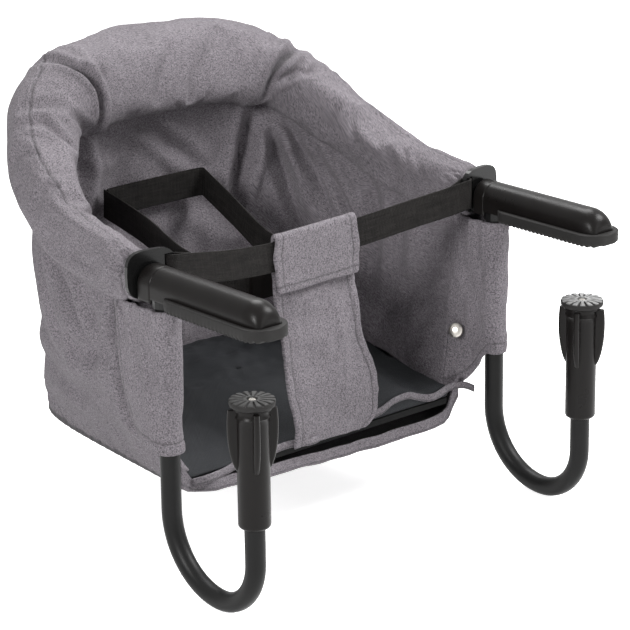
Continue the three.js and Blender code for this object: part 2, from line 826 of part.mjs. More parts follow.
const bodyWall = {
  out: bodyTopOut,
  floor: bodyFloor,
  hang: bodyHang,
  topStart: shareAtDepth(rail, bodyFront),
  floorStart: shareAtDepth(bodyFloor, seatFront),
};
const liningWall = {
  out: -liningTopIn,
  floor: liningFloor,
  hang: liningHang,
  topStart: shareAtDepth(rail, bodyFront),
  floorStart: shareAtDepth(liningFloor, bodyFront - seatFront),
};

function wallSheet(wall, from, to, columns, fold) {
  const grid = (depth) => spread(from, to, columns).map((u, i) => spread(0, 1, panelRows).map((v) => {
    const ripple = fold * Math.sin(Math.PI * (i / columns)) * Math.sin(Math.PI * v)
      * Math.sin(2 * Math.PI * (foldCount * (i / columns) + v / 2));
    return wallPoint(wall, u, v, depth + ripple);
  }));
  return sheet(grid(0), grid(-clothWall));
}

function buildBody() {
  const edge = seatGap / bodyFloor.getLength();
  add('side_panel_left', wallSheet(bodyWall, 0, bodySeamShare - edge, panelColumns, foldDepth), 'melange');
  add('back_panel', wallSheet(bodyWall, bodySeamShare + edge, 1 - bodySeamShare - edge, panelColumns, foldDepth),
    'melange');
  add('side_panel_right', wallSheet(bodyWall, 1 - bodySeamShare + edge, 1, panelColumns, foldDepth), 'melange');
  add('inner_lining', wallSheet(liningWall, 0, 1, liningColumns, -foldDepth), 'melange');
}

// Seat: a cloth floor, a board and a nylon pad, each a closed outline inside the body's.
function seatRing(inset, height, share = 1) {
  const start = shareAtDepth(bodyFloor, seatFront + inset);
  const middle = (seatFront + bodyBottomDepth) / 2;
  const low = seatFront + softGap + inset;
  return spread(start, 1 - start, seatPoints).map((place) => {
    const { point, out } = planFrame(bodyFloor, place);
    point.addScaledVector(out, -clothWall - seatSideGap - inset);
    const y = mix(middle, Math.max(point.y, low), share);
    return at(point.x * share, y, floorHeight(y) + height);
  });
}

function buildSeat() {
  const boardFrom = bottomCloth + seatGap;
  const boardTo = boardFrom + boardThickness;
  const padFrom = boardTo + softGap;
  add('bottom_panel', skin([seatRing(0, 0), seatRing(0, bottomCloth)]), 'melange');
  add('seat_board', skin([seatRing(0, boardFrom), seatRing(0, boardTo)]), 'board');
  add('seat_cover', skin([
    seatRing(seatPadInset, padFrom),
    seatRing(0, mix(padFrom, seatTop, 1 / 3)),
    seatRing(seatPadInset, mix(padFrom, seatTop, 0.8)),
    seatRing(seatShoulder, seatTop),
    seatRing(seatShoulder, seatTop + seatCrown * seatCrownShare, seatCrownShare),
    seatRing(seatShoulder, seatTop + seatCrown, seatCrownShare / 2),
  ]), 'nylon');
  const bandHalf = bodyFloor.getPointAt(shareAtDepth(bodyFloor, seatFront)).x * -1 - clothWall;
  add('front_band', frontStrip(bandHalf, 0, bandHeight, 0), 'melange');
  add('seat_hem', frontStrip(hemHalfWidth, seatTop - hemHeight + hemWave, seatTop + hemWave, hemWave), 'melange');
}

// A strip of cloth across the seat's front edge.
function frontStrip(half, from, to, wave) {
  const grid = (y) => spread(-half, half, hemColumns).map((x, i) => {
    const lift = wave * Math.sin(Math.PI * i / 2);
    return [from, to].map((height) => at(x, y, floorHeight(seatFront) + height + lift));
  });
  return sheet(grid(seatFront - clothWall), grid(seatFront));
}

// Tube sleeves: cloth round the hook tube whose two legs run back to the panel and the lining.
function wallEdge(wall, z, offset) {
  const top = wallPoint(wall, 1, 0, 0).z;
  const low = wallPoint(wall, 1, 1, 0).z;
  return wallPoint(wall, 1, (z - top) / (low - top), offset);
}

function sleeveSection(z, depth) {
  const radius = tubeRadius + softGap + sleeveWall - depth;
  const outer = wallEdge(bodyWall, z, -depth);
  const inner = wallEdge(liningWall, z, depth - clothWall);
  const leg = (edge, side) => spread(0, 1, 3).map((share) => {
    const bend = share ** 3;
    return at(mix(side * radius, edge.x - frameHalfWidth, bend), mix(0, edge.y - softGap, share), z);
  });
  const arch = spread(0, Math.PI, 7).slice(1, -1).map((angle) => (
    at(radius * Math.cos(angle), -radius * Math.sin(angle), z)));
  return [...leg(outer, 1).reverse(), ...arch, ...leg(inner, -1)];
}

const sleeveTop = armHeight - rimUnderside(bodyFront, bodyTopOut) - softGap;

function buildSleeves() {
  const rows = spread(sleeveTop, -sleeveBottom, sleeveRows);
  const grid = (depth) => rows.map((z) => sleeveSection(z, depth));
  addPair('tube_sleeve', sheet(grid(0), grid(sleeveWall)), 'melange');
  const face = (z, y) => {
    const leg = sleeveSection(z, 0).slice(-4);
    const next = leg.findIndex((point) => point.y > y);
    return leg[next - 1].clone().lerp(leg[next], (y - leg[next - 1].y) / (leg[next].y - leg[next - 1].y));
  };
  const seat = face(-studDepth, studBack);
  const back = face(-studDepth, studBack + studRadius).sub(seat);
  const below = face(-studDepth - studRadius, studBack).sub(seat);
  const inward = new THREE.Vector3().crossVectors(back, below).normalize();
  const profile = [[0, 0], [studRadius, 0], ...spread(0, Math.PI / 2, 4).map((angle) => [
    studRadius * Math.cos(angle), studHeight * (studEdgeShare + Math.sin(angle))])];
  const stud = new THREE.LatheGeometry(profile.map(([r, h]) => new THREE.Vector2(r, h)), 16);
  stud.applyQuaternion(new THREE.Quaternion().setFromUnitVectors(at(0, 1, 0), inward));
  seat.addScaledVector(inward, 4 * softGap);
  stud.translate(seat.x, seat.y, seat.z);
  addPair('press_stud', stud, 'zinc');
}

// A flat strap on edge along a path of its middle points.
function strap(points, width = strapWidth) {
  const edge = (side) => points.map((point, i) => {
    const before = points[Math.max(i - 1, 0)];
    const after = points[Math.min(i + 1, points.length - 1)];
    const across = at(after.y - before.y, before.x - after.x, 0).normalize();
    const corner = point.clone().addScaledVector(across, (side * strapThickness) / 2);
    return [-width / 2, width / 2].map((height) => at(corner.x, corner.y, corner.z + height));
  });
  return sheet(edge(1), edge(-1));
}

// Belt: from bar to bar of the two flanges, each end looped round its bar and sewn to itself.
const barOut = -(slotInner + slotWidth + slotWidth / 2);
const barX = frameHalfWidth + barOut;
const barY = flangePlace + flangeThickness / 2 - barOut * Math.tan(flangeTurn);
const beltFlat = crotchHalfWidth + 2 * softGap;
const beltSlack = (x) => 1 - (Math.max(Math.abs(x) - beltFlat, 0) / (barX - beltFlat)) ** 2;
const beltFront = (x) => barY - flangeThickness / 2 - strapThickness - 4 * softGap + beltBow * beltSlack(x);

function buildBelt() {
  const clear = flangeThickness / 2 + strapThickness / 2 + softGap;
  const slotX = barX + slotWidth / 2 + strapThickness / 2 + softGap;
  const half = [
    [0, beltFront(0)],
    ...spread(beltFlat, barX, 5).map((x) => [x, beltFront(x)]),
    [slotX - strapThickness / 2, barY - clear],
    [slotX, barY - flangeThickness / 2],
    [slotX, barY + flangeThickness / 2],
    [slotX - strapThickness / 2, barY + clear],
    [barX, barY + clear + strapThickness / 4],
    [barX - beltTail, beltFront(barX - beltTail) + strapThickness + softGap],
  ];
  const place = ([x, y]) => at(x, y, beltHeight - beltSag * Math.max(beltSlack(x), 0));
  const right = half.map(place);
  const left = half.slice(1).map(([x, y]) => place([-x, y])).reverse();
  add('front_belt', strap([...left, ...right]), 'webbing');
}

function buildCrotchPanel() {
  const beltMiddle = beltFront(0);
  const top = beltHeight - beltSag + strapWidth / 2 + 2 * softGap + crotchWall;
  const lap = strapThickness / 2 + softGap + crotchWall / 2;
  const footY = seatFront - clothWall - softGap - crotchWall / 2;
  const clear = floorHeight(seatFront) + seatTop + 2 * hemWave + softGap;
  const main = spread(0, 1, 7).map((share) => [
    mix(footY, beltMiddle + lap, (1 - Math.cos(Math.PI * share)) / 2),
    mix(clear, top - strapWidth, share)]);
  const path = [
    [footY, -crotchBottom],
    ...main,
    [beltMiddle + lap, top - lap],
    [beltMiddle, top],
    [beltMiddle - lap, top - lap],
    [beltMiddle - lap, top - crotchFlap],
  ];
  const edge = (side) => path.map(([y, z], i) => {
    const [y0, z0] = path[Math.max(i - 1, 0)];
    const [y1, z1] = path[Math.min(i + 1, path.length - 1)];
    const across = at(0, z1 - z0, y0 - y1).normalize();
    return spread(-crotchHalfWidth, crotchHalfWidth, 3).map((x) => (
      at(x, y + (side * crotchWall * across.y) / 2, z + (side * crotchWall * across.z) / 2)));
  });
  add('crotch_panel', sheet(edge(1), edge(-1)), 'melange');
}

// Waist strap: along the lining's back, then forward on both sides to the buckle.
function liningFace(x, z) {
  let low = 0;
  let high = 1;
  let point;
  for (let i = 0; i < 30; i += 1) {
    const u = (low + high) / 2;
    const top = wallPoint(liningWall, u, 0, 0).z;
    const floor = wallPoint(liningWall, u, 1, 0).z;
    point = wallPoint(liningWall, u, (z - top) / (floor - top), -clothWall);
    if (point.x < x) low = u;
    else high = u;
  }
  return point.y;
}

function buildHarness() {
  const hold = foldDepth + softGap + strapThickness;
  const middleX = (waistLeft + waistRight) / 2;
  const halfX = (waistRight - waistLeft) / 2;
  const backPoints = spread(waistLeft + hold, waistRight - hold, 6).map((x) => (
    at(x, liningFace(x, waistHeight) - hold, waistHeight)));
  add('waist_strap_back', strap(backPoints), 'webbing');
  const strapY = buckleFront + buckleThickness - buckleWall - strapThickness;
  const backY = liningFace(middleX, waistHeight) - hold;
  const leftShares = [[1, 0.97, 1], [1.3, 0.53, 0.86], [1.38, 0.2, 0.43], [1.04, 0.03, 0.06], [0.72, 0, 0]];
  const rightShares = [[1, 1, 1], [0.85, 0.69, 0.55], [0.7, 0.41, 0.15], [0.55, 0.15, 0.02], [0.4, 0, 0]];
  const route = (side, shares, stop) => {
    const points = shares.map(([across, back, high]) => at(middleX + side * halfX * across,
      mix(strapY, backY, back), waistHeight - waistFall * (1 - high)));
    const curve = new THREE.CatmullRomCurve3(points);
    return [...spread(0, 1, 14).map((t) => curve.getPoint(t)), at(stop, strapY, waistHeight - waistFall)];
  };
  const socketEnd = buckleMiddle + buckleSocketLength;
  add('waist_strap_left', strap(route(-1, leftShares, buckleMiddle - overrun)), 'webbing');
  add('waist_strap_right', strap(route(1, rightShares, socketEnd - overrun - softGap)), 'webbing');
  buildBuckle(strapY, waistHeight - waistFall, socketEnd);
}

function block(from, to) {
  const size = to.clone().sub(from);
  const geometry = new THREE.BoxGeometry(size.x, size.y, size.z);
  return geometry.translate((from.x + to.x) / 2, (from.y + to.y) / 2, (from.z + to.z) / 2);
}

function buildBuckle(strapY, z, socketEnd) {
  const back = buckleFront + buckleThickness;
  const strapSlot = (from, to) => block(
    at(from, strapY - strapThickness / 2 - softGap, z - strapWidth / 2 - softGap),
    at(to, strapY + strapThickness / 2 + softGap, z + strapWidth / 2 + softGap));
  const prongFront = buckleFront + buckleWall;
  const prongBack = strapY - strapThickness / 2 - buckleWall;
  const shell = block(at(buckleMiddle, buckleFront, z - buckleHalfHeight), at(socketEnd, back, z + buckleHalfHeight));
  const throat = block(
    at(buckleMiddle - overrun, prongFront - seatGap, z - prongHalfHeight - seatGap),
    at(buckleMiddle + buckleThroat, prongBack + seatGap, z + prongHalfHeight + seatGap));
  const window = block(
    at(buckleMiddle + buckleThroat / 3, prongFront - seatGap, z - buckleHalfHeight - overrun),
    at(buckleMiddle + buckleThroat * 0.8, prongBack + seatGap, z + buckleHalfHeight + overrun));
  add('buckle_socket', cut(shell, throat, window, strapSlot(socketEnd - 2 * overrun, socketEnd + overrun)), 'moulding');
  const frameEnd = buckleMiddle - seatGap;
  const frame = block(at(frameEnd - buckleFrame, buckleFront, z - buckleHalfHeight),
    at(frameEnd, back, z + buckleHalfHeight));
  const prong = (low, high) => block(at(frameEnd - overrun, prongFront, z + low),
    at(frameEnd + prongLength, prongBack, z + high));
  const tongue = join(frame,
    prong(-prongHalfHeight, -prongHalfHeight + prongWidth),
    prong(-prongWidth / 2, prongWidth / 2),
    prong(prongHalfHeight - prongWidth, prongHalfHeight));
  add('buckle_tongue', cut(tongue, strapSlot(frameEnd - buckleFrame - overrun, frameEnd + overrun)), 'moulding');
}

buildFrameTube();
buildArmCover();
buildTablePad();
buildConnector();
buildHook();
buildKnob();
buildFoot();
buildSpindle();
buildNut();
buildRim();
buildBody();
buildSeat();
buildSleeves();
buildBelt();
buildCrotchPanel();
buildHarness();

export default model;
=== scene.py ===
import math
import bpy
import numpy as np
from mathutils import Matrix, Vector


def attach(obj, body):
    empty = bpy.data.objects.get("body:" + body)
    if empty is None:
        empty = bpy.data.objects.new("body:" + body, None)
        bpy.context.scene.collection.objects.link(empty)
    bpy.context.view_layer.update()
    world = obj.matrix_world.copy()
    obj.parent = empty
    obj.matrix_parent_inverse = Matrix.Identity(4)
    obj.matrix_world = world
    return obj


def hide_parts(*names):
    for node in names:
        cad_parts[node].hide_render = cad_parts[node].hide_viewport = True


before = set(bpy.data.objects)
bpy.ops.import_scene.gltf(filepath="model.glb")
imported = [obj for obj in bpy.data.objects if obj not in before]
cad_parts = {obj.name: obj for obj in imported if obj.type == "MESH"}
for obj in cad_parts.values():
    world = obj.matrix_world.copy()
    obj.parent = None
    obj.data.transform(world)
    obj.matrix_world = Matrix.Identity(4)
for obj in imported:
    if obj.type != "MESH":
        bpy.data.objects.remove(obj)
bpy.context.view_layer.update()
scene = bpy.context.scene
mm = 0.001
print("frame loaded")


# Small maths on whole arrays.
def powered(value, power):  # keeps the sign
    return np.sign(value) * np.abs(value) ** power


def unitRows(vectors):  # each row divided by its own length
    return vectors / np.maximum(np.linalg.norm(vectors, axis=-1, keepdims=True), 1e-12)


def mix(a, b, share):  # a at share 0, b at share 1
    return a + (b - a) * share


def ease(value, low, high):  # 0 below low, 1 above high, smooth between
    share = np.clip((value - low) / (high - low), 0, 1)
    return share * share * (3 - 2 * share)


def bell(value, width):  # 1 at zero, down to a third where the value reaches the width
    return np.exp(-(value / width) ** 2)


def runAlong(points, axis):  # distance walked along one direction of the grid
    gaps = np.linalg.norm(np.diff(points, axis=axis), axis=-1)
    return np.concatenate([np.zeros_like(np.take(gaps, [0], axis)), np.cumsum(gaps, axis)], axis)


def gridNormals(points):  # the steps along the two ways of the grid, crossed
    return unitRows(np.cross(np.gradient(points, axis=0), np.gradient(points, axis=1)))


noiseLook = {"count": 26, "shortest": 0.55}


def softNoise(u, v, seed, wave, stretch=(1, 1)):  # sum of plane waves in all directions
    total = 0
    for angle, size, phase in np.random.default_rng(seed).random((noiseLook["count"], 3)):
        turn = 2 * np.pi * angle
        length = wave * (noiseLook["shortest"] + size)
        way = u * np.cos(turn) / stretch[0] + v * np.sin(turn) / stretch[1]
        total = total + np.sin(2 * np.pi * (way / length + phase))
    return total / math.sqrt(noiseLook["count"] / 2)


# Ripples: soft noise of several sizes, each a height, a wave length, a step of the seed and maybe a stretch.
def ripple(u, v, waves, seed=0):
    return sum(height * softNoise(u, v, seed + step, wave, *stretch)
               for height, wave, step, *stretch in waves)


def stitched(gap, line):  # a sewn line as a dark shade: its width and how dark it is
    width, dark = line
    return bell(gap, width) * dark


foldLook = {"fade": (0.06, 0.94), "fadePower": 0.7, "shoulderAt": 1.9, "shoulderWidth": 0.9}


# Folds: each line is a depth, a width and a path; the cloth sinks along it and rises on both sides, less so
# towards the line's ends, by a power of a sine.
def foldField(u, v, lines, shoulder=0.45):
    total = np.zeros(np.broadcast(u, v).shape)
    for depth, width, path in lines:
        path = np.array(path, float)
        steps = np.diff(path, axis=0)
        sizes = np.linalg.norm(steps, axis=1)
        whole = sizes.sum()
        far = np.full(total.shape, 1e9)
        along = np.zeros(total.shape)
        done = 0
        for start, step, size in zip(path[:-1], steps, sizes):
            share = np.clip(((u - start[0]) * step[0] + (v - start[1]) * step[1]) / size ** 2, 0, 1)
            gap = np.hypot(u - start[0] - share * step[0], v - start[1] - share * step[1])
            along = np.where(gap < far, (done + share * size) / whole, along)
            far = np.minimum(far, gap)
            done += size
        fade = np.sin(np.pi * mix(*foldLook["fade"], along)) ** foldLook["fadePower"]
        near = far / width
        sides = bell(near - foldLook["shoulderAt"], foldLook["shoulderWidth"])
        total -= depth * fade * (bell(near, 1) - shoulder * sides)
    return total


def smoothPath(corners, count):  # centripetal spline through the corner points
    corners = np.array(corners, float)
    ends = np.vstack([2 * corners[0] - corners[1], corners, 2 * corners[-1] - corners[-2]])
    knots = np.concatenate([[0], np.cumsum(np.linalg.norm(np.diff(ends, axis=0), axis=1) ** 0.5)])
    at = np.linspace(knots[1], knots[-2], count)
    i = np.clip(np.searchsorted(knots, at, "right") - 1, 1, len(ends) - 3)

    def blend(a, b, ka, kb):
        share = ((at - ka) / (kb - ka))[:, None]
        return a * (1 - share) + b * share
    p, k = [ends[i + step] for step in (-1, 0, 1, 2)], [knots[i + step] for step in (-1, 0, 1, 2)]
    a1, a2, a3 = (blend(p[j], p[j + 1], k[j], k[j + 1]) for j in range(3))
    b1, b2 = blend(a1, a2, k[0], k[2]), blend(a2, a3, k[1], k[3])
    return blend(b1, b2, k[1], k[2])


def evenly(path, count):  # the same line with even spacing
    run = runAlong(path, 0)
    at = np.linspace(0, run[-1], count)
    return np.stack([np.interp(at, run, path[:, k]) for k in range(path.shape[1])], 1)


# Mesh from whole arrays of points, faces and laid-out corners; a shell of negative volume is turned over.
def buildMesh(name, vertices, faces, corners, fields, material, hardAngle=None):
    fans = np.concatenate([face[:, [0, i, i + 1]] for face in faces for i in range(1, face.shape[1] - 1)])
    a, b, c = (vertices[fans[:, k]] for k in range(3))
    if np.einsum("ij,ij->", a, np.cross(b, c)) < 0:
        faces = [face[:, ::-1] for face in faces]
        corners = [corner[:, ::-1] for corner in corners]
    mesh = bpy.data.meshes.new(name)
    sizes = np.concatenate([np.full(len(face), face.shape[1]) for face in faces])
    loops = np.concatenate([face.ravel() for face in faces])
    mesh.vertices.add(len(vertices))
    mesh.vertices.foreach_set("co", vertices.astype(np.float32).ravel())
    mesh.loops.add(len(loops))
    mesh.loops.foreach_set("vertex_index", loops.astype(np.int32))
    mesh.polygons.add(len(sizes))
    mesh.polygons.foreach_set("loop_start", np.concatenate([[0], np.cumsum(sizes)[:-1]]).astype(np.int32))
    mesh.polygons.foreach_set("use_smooth", np.ones(len(sizes), bool))
    laid = np.concatenate([corner.reshape(-1, 2) for corner in corners]).astype(np.float32)
    mesh.uv_layers.new(name="laid").data.foreach_set("uv", laid.ravel())
    mesh.update(calc_edges=True)
    mesh.validate()
    for key, values in (fields or {}).items():
        attribute = mesh.attributes.new(key, "FLOAT", "POINT")
        attribute.data.foreach_set("value", values.astype(np.float32).ravel())
    if hardAngle:
        mesh.set_sharp_from_angle(angle=hardAngle)
    mesh.materials.append(material)
    obj = bpy.data.objects.new(name, mesh)
    scene.collection.objects.link(obj)
    return obj


def gridFaces(n, m, closedU, closedV):  # a grid's faces as point numbers, and as numbers of laid-out places
    i, j = np.arange(n if closedU else n - 1)[:, None], np.arange(m if closedV else m - 1)[None, :]
    k, l = (i + 1) % n, (j + 1) % m
    quads = np.stack(np.broadcast_arrays(i * m + j, k * m + j, k * m + l, i * m + l), -1).reshape(-1, 4)
    places = np.stack(np.broadcast_arrays(i * (m + 1) + j, (i + 1) * (m + 1) + j, (i + 1) * (m + 1) + j + 1,
                                          i * (m + 1) + j + 1), -1).reshape(-1, 4)
    return quads, places


# A surface on a grid that closes across, and along where closedU is set; caps end it on a middle point.
def gridPiece(name, points, material, closedU=False, caps=False, fields=None, hardAngle=None):
    n, m = points.shape[:2]
    quads, places = gridFaces(n, m, closedU, True)
    wrapped = np.concatenate([points, points[:1]], 0)
    wrapped = np.concatenate([wrapped, wrapped[:, :1]], 1)
    laid = np.stack([runAlong(wrapped, 0), runAlong(wrapped, 1)], -1).reshape(-1, 2)
    vertices, faces, corners = points.reshape(-1, 3), [quads], [laid[places]]
    fields = {key: np.broadcast_to(values, (n, m)).ravel() for key, values in (fields or {}).items()}
    if caps:
        for row, flip in ((0, True), (n - 1, False)):
            ring = row * m + np.arange(m)
            after = row * m + (np.arange(m) + 1) % m
            middle = np.full(m, len(vertices))
            fan = np.stack([ring, middle, after] if flip else [ring, after, middle], 1)
            around = np.linspace(0, 2 * np.pi, m, endpoint=False)
            reach = np.linalg.norm(points[row] - points[row].mean(0), axis=1)
            flat = np.stack([reach * np.cos(around), reach * np.sin(around)], 1)
            centre = np.zeros((m, 2))
            beside = np.roll(flat, -1, 0)
            vertices = np.vstack([vertices, points[row].mean(0)])
            faces.append(fan)
            corners.append(np.stack([flat, centre, beside] if flip else [flat, beside, centre], 1))
            for key in fields:
                fields[key] = np.append(fields[key], fields[key][ring].mean())
    return buildMesh(name, vertices, faces, corners, fields, material, hardAngle)


# Cloth with thickness round a middle surface: half the wall times the circle's root of the gap to the edge,
# so that the two faces meet in a round edge on all four sides. A hem adds to the wall along the sides named.
def clothPiece(name, middle, wall, material, fields=None, hem=0, hemWidth=0.008, hemSides=(1, 1, 1, 1)):
    n, m = middle.shape[:2]
    alongU, alongV = runAlong(middle, 0), runAlong(middle, 1)
    edges = [alongU, alongU[-1:] - alongU, alongV, alongV[:, -1:] - alongV]
    near = np.minimum.reduce(edges)
    thick = wall + hem * np.maximum.reduce([side * ease(-gap, -hemWidth, -hemWidth * 0.75)
                                            for side, gap in zip(hemSides, edges)])
    reach = np.clip(near / (thick / 2), 0, 1)
    half = thick / 2 * np.sqrt(np.clip(1 - (1 - reach) ** 2, 0, 1))
    normal = gridNormals(middle)
    outer, inner = middle + normal * half[..., None], middle - normal * half[..., None]
    index = np.arange(n * m).reshape(n, m)
    back = index.copy()
    back[1:-1, 1:-1] = n * m + np.arange((n - 2) * (m - 2)).reshape(n - 2, m - 2)
    vertices = np.vstack([outer.reshape(-1, 3), inner[1:-1, 1:-1].reshape(-1, 3)])

    def quads(grid):
        return np.stack([grid[:-1, :-1], grid[1:, :-1], grid[1:, 1:], grid[:-1, 1:]], -1).reshape(-1, 4)
    laid = np.stack([alongU, alongV], -1).reshape(-1, 2)
    faces = [quads(index), quads(back)[:, ::-1]]
    corners = [laid[quads(index)], laid[quads(index)[:, ::-1]]]
    both = {}
    for key, values in (fields or {}).items():
        values = np.broadcast_to(values, (n, m))
        both[key] = np.concatenate([values.ravel(), values[1:-1, 1:-1].ravel()])
    return buildMesh(name, vertices, faces, corners, both, material)


def edgeStops(count, length, wall):  # even stops from 0 to 1, with a few more close to both ends
    close = np.array([0.06, 0.25, 0.6, 1, 1.8]) * wall / 2 / length
    return np.unique(np.concatenate([np.linspace(0, 1, count), close, 1 - close]))


# A round bar along a path: each ring stands square on the path, carried along without twist.
def sweptRings(path, radius, sides):
    tangent = unitRows(np.gradient(path, axis=0))
    side = np.zeros_like(path)
    last = np.array([1.0, 0, 0])
    for i, way in enumerate(tangent):  # one step for each station
        last = last - way * (last @ way)
        last /= np.linalg.norm(last)
        side[i] = last
    other = np.cross(tangent, side)
    turn = np.linspace(0, 2 * np.pi, sides, endpoint=False)[None, :, None]
    return path[:, None] + radius * (side[:, None] * np.cos(turn) + other[:, None] * np.sin(turn))


def turned(profile, sides, centre):  # profile of radius and height turned round an upright axis
    profile = np.array(profile, float)
    turn = np.linspace(0, 2 * np.pi, sides, endpoint=False)
    ring = np.stack([np.cos(turn), np.sin(turn), 0 * turn], -1)
    lift = np.array([0, 0, 1])
    return profile[:, 0, None, None] * ring + profile[:, 1, None, None] * lift + centre


def joined(name, *objects):  # several closed shells as one piece
    bpy.ops.object.select_all(action="DESELECT")
    for obj in objects:
        obj.select_set(True)
    bpy.context.view_layer.objects.active = objects[0]
    bpy.ops.object.join()
    objects[0].name = objects[0].data.name = name
    return objects[0]


# Cubic weights that carry values on an even coarse line over to a finer one.
def spreadWeights(fine, coarse, closed):
    at = np.arange(fine) * (coarse / fine if closed else (coarse - 1) / (fine - 1))
    cell = np.minimum(at.astype(int), coarse - 1 if closed else coarse - 2)
    part = at - cell
    weights = np.zeros((fine, coarse))
    shares = (-part / 2 + part ** 2 - part ** 3 / 2, 1 - 2.5 * part ** 2 + 1.5 * part ** 3,
              part / 2 + 2 * part ** 2 - 1.5 * part ** 3, (part ** 3 - part ** 2) / 2)
    for step, share in zip((-1, 0, 1, 2), shares):
        index = (cell + step) % coarse if closed else np.clip(cell + step, 0, coarse - 1)
        np.add.at(weights, (np.arange(fine), index), share)
    return weights


holdLevels = 20  # steps in which a point is held, from free to fast


# Simulation: the cloth starts as the grid (in millimetres), held where pins is 1, with more length than the
# grid has and, in a roll, pressed outwards; what it moved by, no further than the cap, goes to a finer grid.
def clothMove(points, pins, look, fineShape, closedV=False):
    n, m = points.shape[:2]
    quads, _ = gridFaces(n, m, False, closedV)
    mesh = bpy.data.meshes.new("trial")
    mesh.from_pydata((points.reshape(-1, 3) * mm).tolist(), [], quads.tolist())
    trial = bpy.data.objects.new("trial", mesh)
    scene.collection.objects.link(trial)
    held = trial.vertex_groups.new(name="held")
    levels = np.round(np.clip(pins, 0, 1).ravel() * holdLevels) / holdLevels
    for level in np.unique(levels[levels > 0]):
        held.add(np.where(levels == level)[0].tolist(), float(level), "REPLACE")
    cloth = trial.modifiers.new("cloth", "CLOTH")
    settings = cloth.settings
    for key, value in look["cloth"].items():
        setattr(settings, key, value)
    settings.vertex_group_mass = "held"
    settings.effector_weights.gravity = 0
    cloth.collision_settings.use_collision = False
    cloth.point_cache.frame_start, cloth.point_cache.frame_end = 1, look["frames"]
    for step in range(1, look["frames"] + 1):
        scene.frame_set(step)
    moved = np.zeros(n * m * 3, np.float32)
    done = trial.evaluated_get(bpy.context.evaluated_depsgraph_get()).to_mesh()
    done.vertices.foreach_get("co", moved)
    move = moved.reshape(n, m, 3) / mm - points
    bpy.data.objects.remove(trial)
    bpy.data.meshes.remove(mesh)
    scene.frame_set(1)
    size = np.linalg.norm(move, axis=-1, keepdims=True)
    print("cloth moved up to %.1f mm, on average %.2f mm" % (size.max(), size.mean()))
    move = np.nan_to_num(move * np.minimum(1, look["cap"] / np.maximum(size, 1e-6)))
    across, along = spreadWeights(fineShape[0], n, False), spreadWeights(fineShape[1], m, closedV)
    return np.einsum("ai,ijk,bj->abk", across, move, along)


stuffedLook = {"frames": 20, "cap": 4.0, "cloth": {
    "quality": 5, "mass": 0.25, "tension_stiffness": 15, "compression_stiffness": 15, "shear_stiffness": 6,
    "bending_stiffness": 8.0, "air_damping": 2.0, "shrink_min": -0.012, "use_pressure": True,
    "uniform_pressure_force": 4.0}}
hungLook = {"frames": 20, "cap": 5.0, "cloth": {
    "quality": 5, "mass": 0.25, "tension_stiffness": 12, "compression_stiffness": 12, "shear_stiffness": 5,
    "bending_stiffness": 1.5, "air_damping": 3.0, "shrink_min": -0.012}}
# for a wall: millimetres between points, fewest across, how its folds fade and where its edges are held
trialLook = {"pitch": 4, "least": 30, "finer": 4, "fade": 9, "held": (-6, -2), "slight": 0.04}


# Shared effects as node groups.
def newGroup(name, inputs, outputs):
    group = bpy.data.node_groups.new(name, "ShaderNodeTree")
    for label, kind, value in inputs:
        socket = group.interface.new_socket(label, in_out="INPUT", socket_type=kind)
        if value is not None:
            socket.default_value = value
    for label, kind in outputs:
        group.interface.new_socket(label, in_out="OUTPUT", socket_type=kind)
    return group, group.nodes.new("NodeGroupInput"), group.nodes.new("NodeGroupOutput")


def place(tree, kind, links=None, **settings):  # a node with its settings and what feeds it
    node = tree.nodes.new(kind)
    for key, value in settings.items():
        setattr(node, key, value)
    for key, value in (links or {}).items():
        socket = node.inputs[key]
        if isinstance(value, bpy.types.NodeSocket):
            tree.links.new(value, socket)
        else:
            socket.default_value = value
    return node


def maths(tree, operation, a, b=0.0):  # one sum on two values or sockets
    return place(tree, "ShaderNodeMath", {0: a, 1: b}, operation=operation).outputs[0]


def ranged(tree, value, start, end, low=0.0, high=1.0):  # low where the value is start, high where it is end
    return place(tree, "ShaderNodeMapRange", {0: value, 1: start, 2: end, 3: low, 4: high}).outputs[0]


def blendColours(tree, share, a, b, kind="MIX"):  # colour a at share 0, b at share 1
    node = place(tree, "ShaderNodeMix", data_type="RGBA", blend_type=kind)
    for key, value in ((0, share), (6, a), (7, b)):
        if isinstance(value, bpy.types.NodeSocket):
            tree.links.new(value, node.inputs[key])
        else:
            node.inputs[key].default_value = value
    return node.outputs[2]


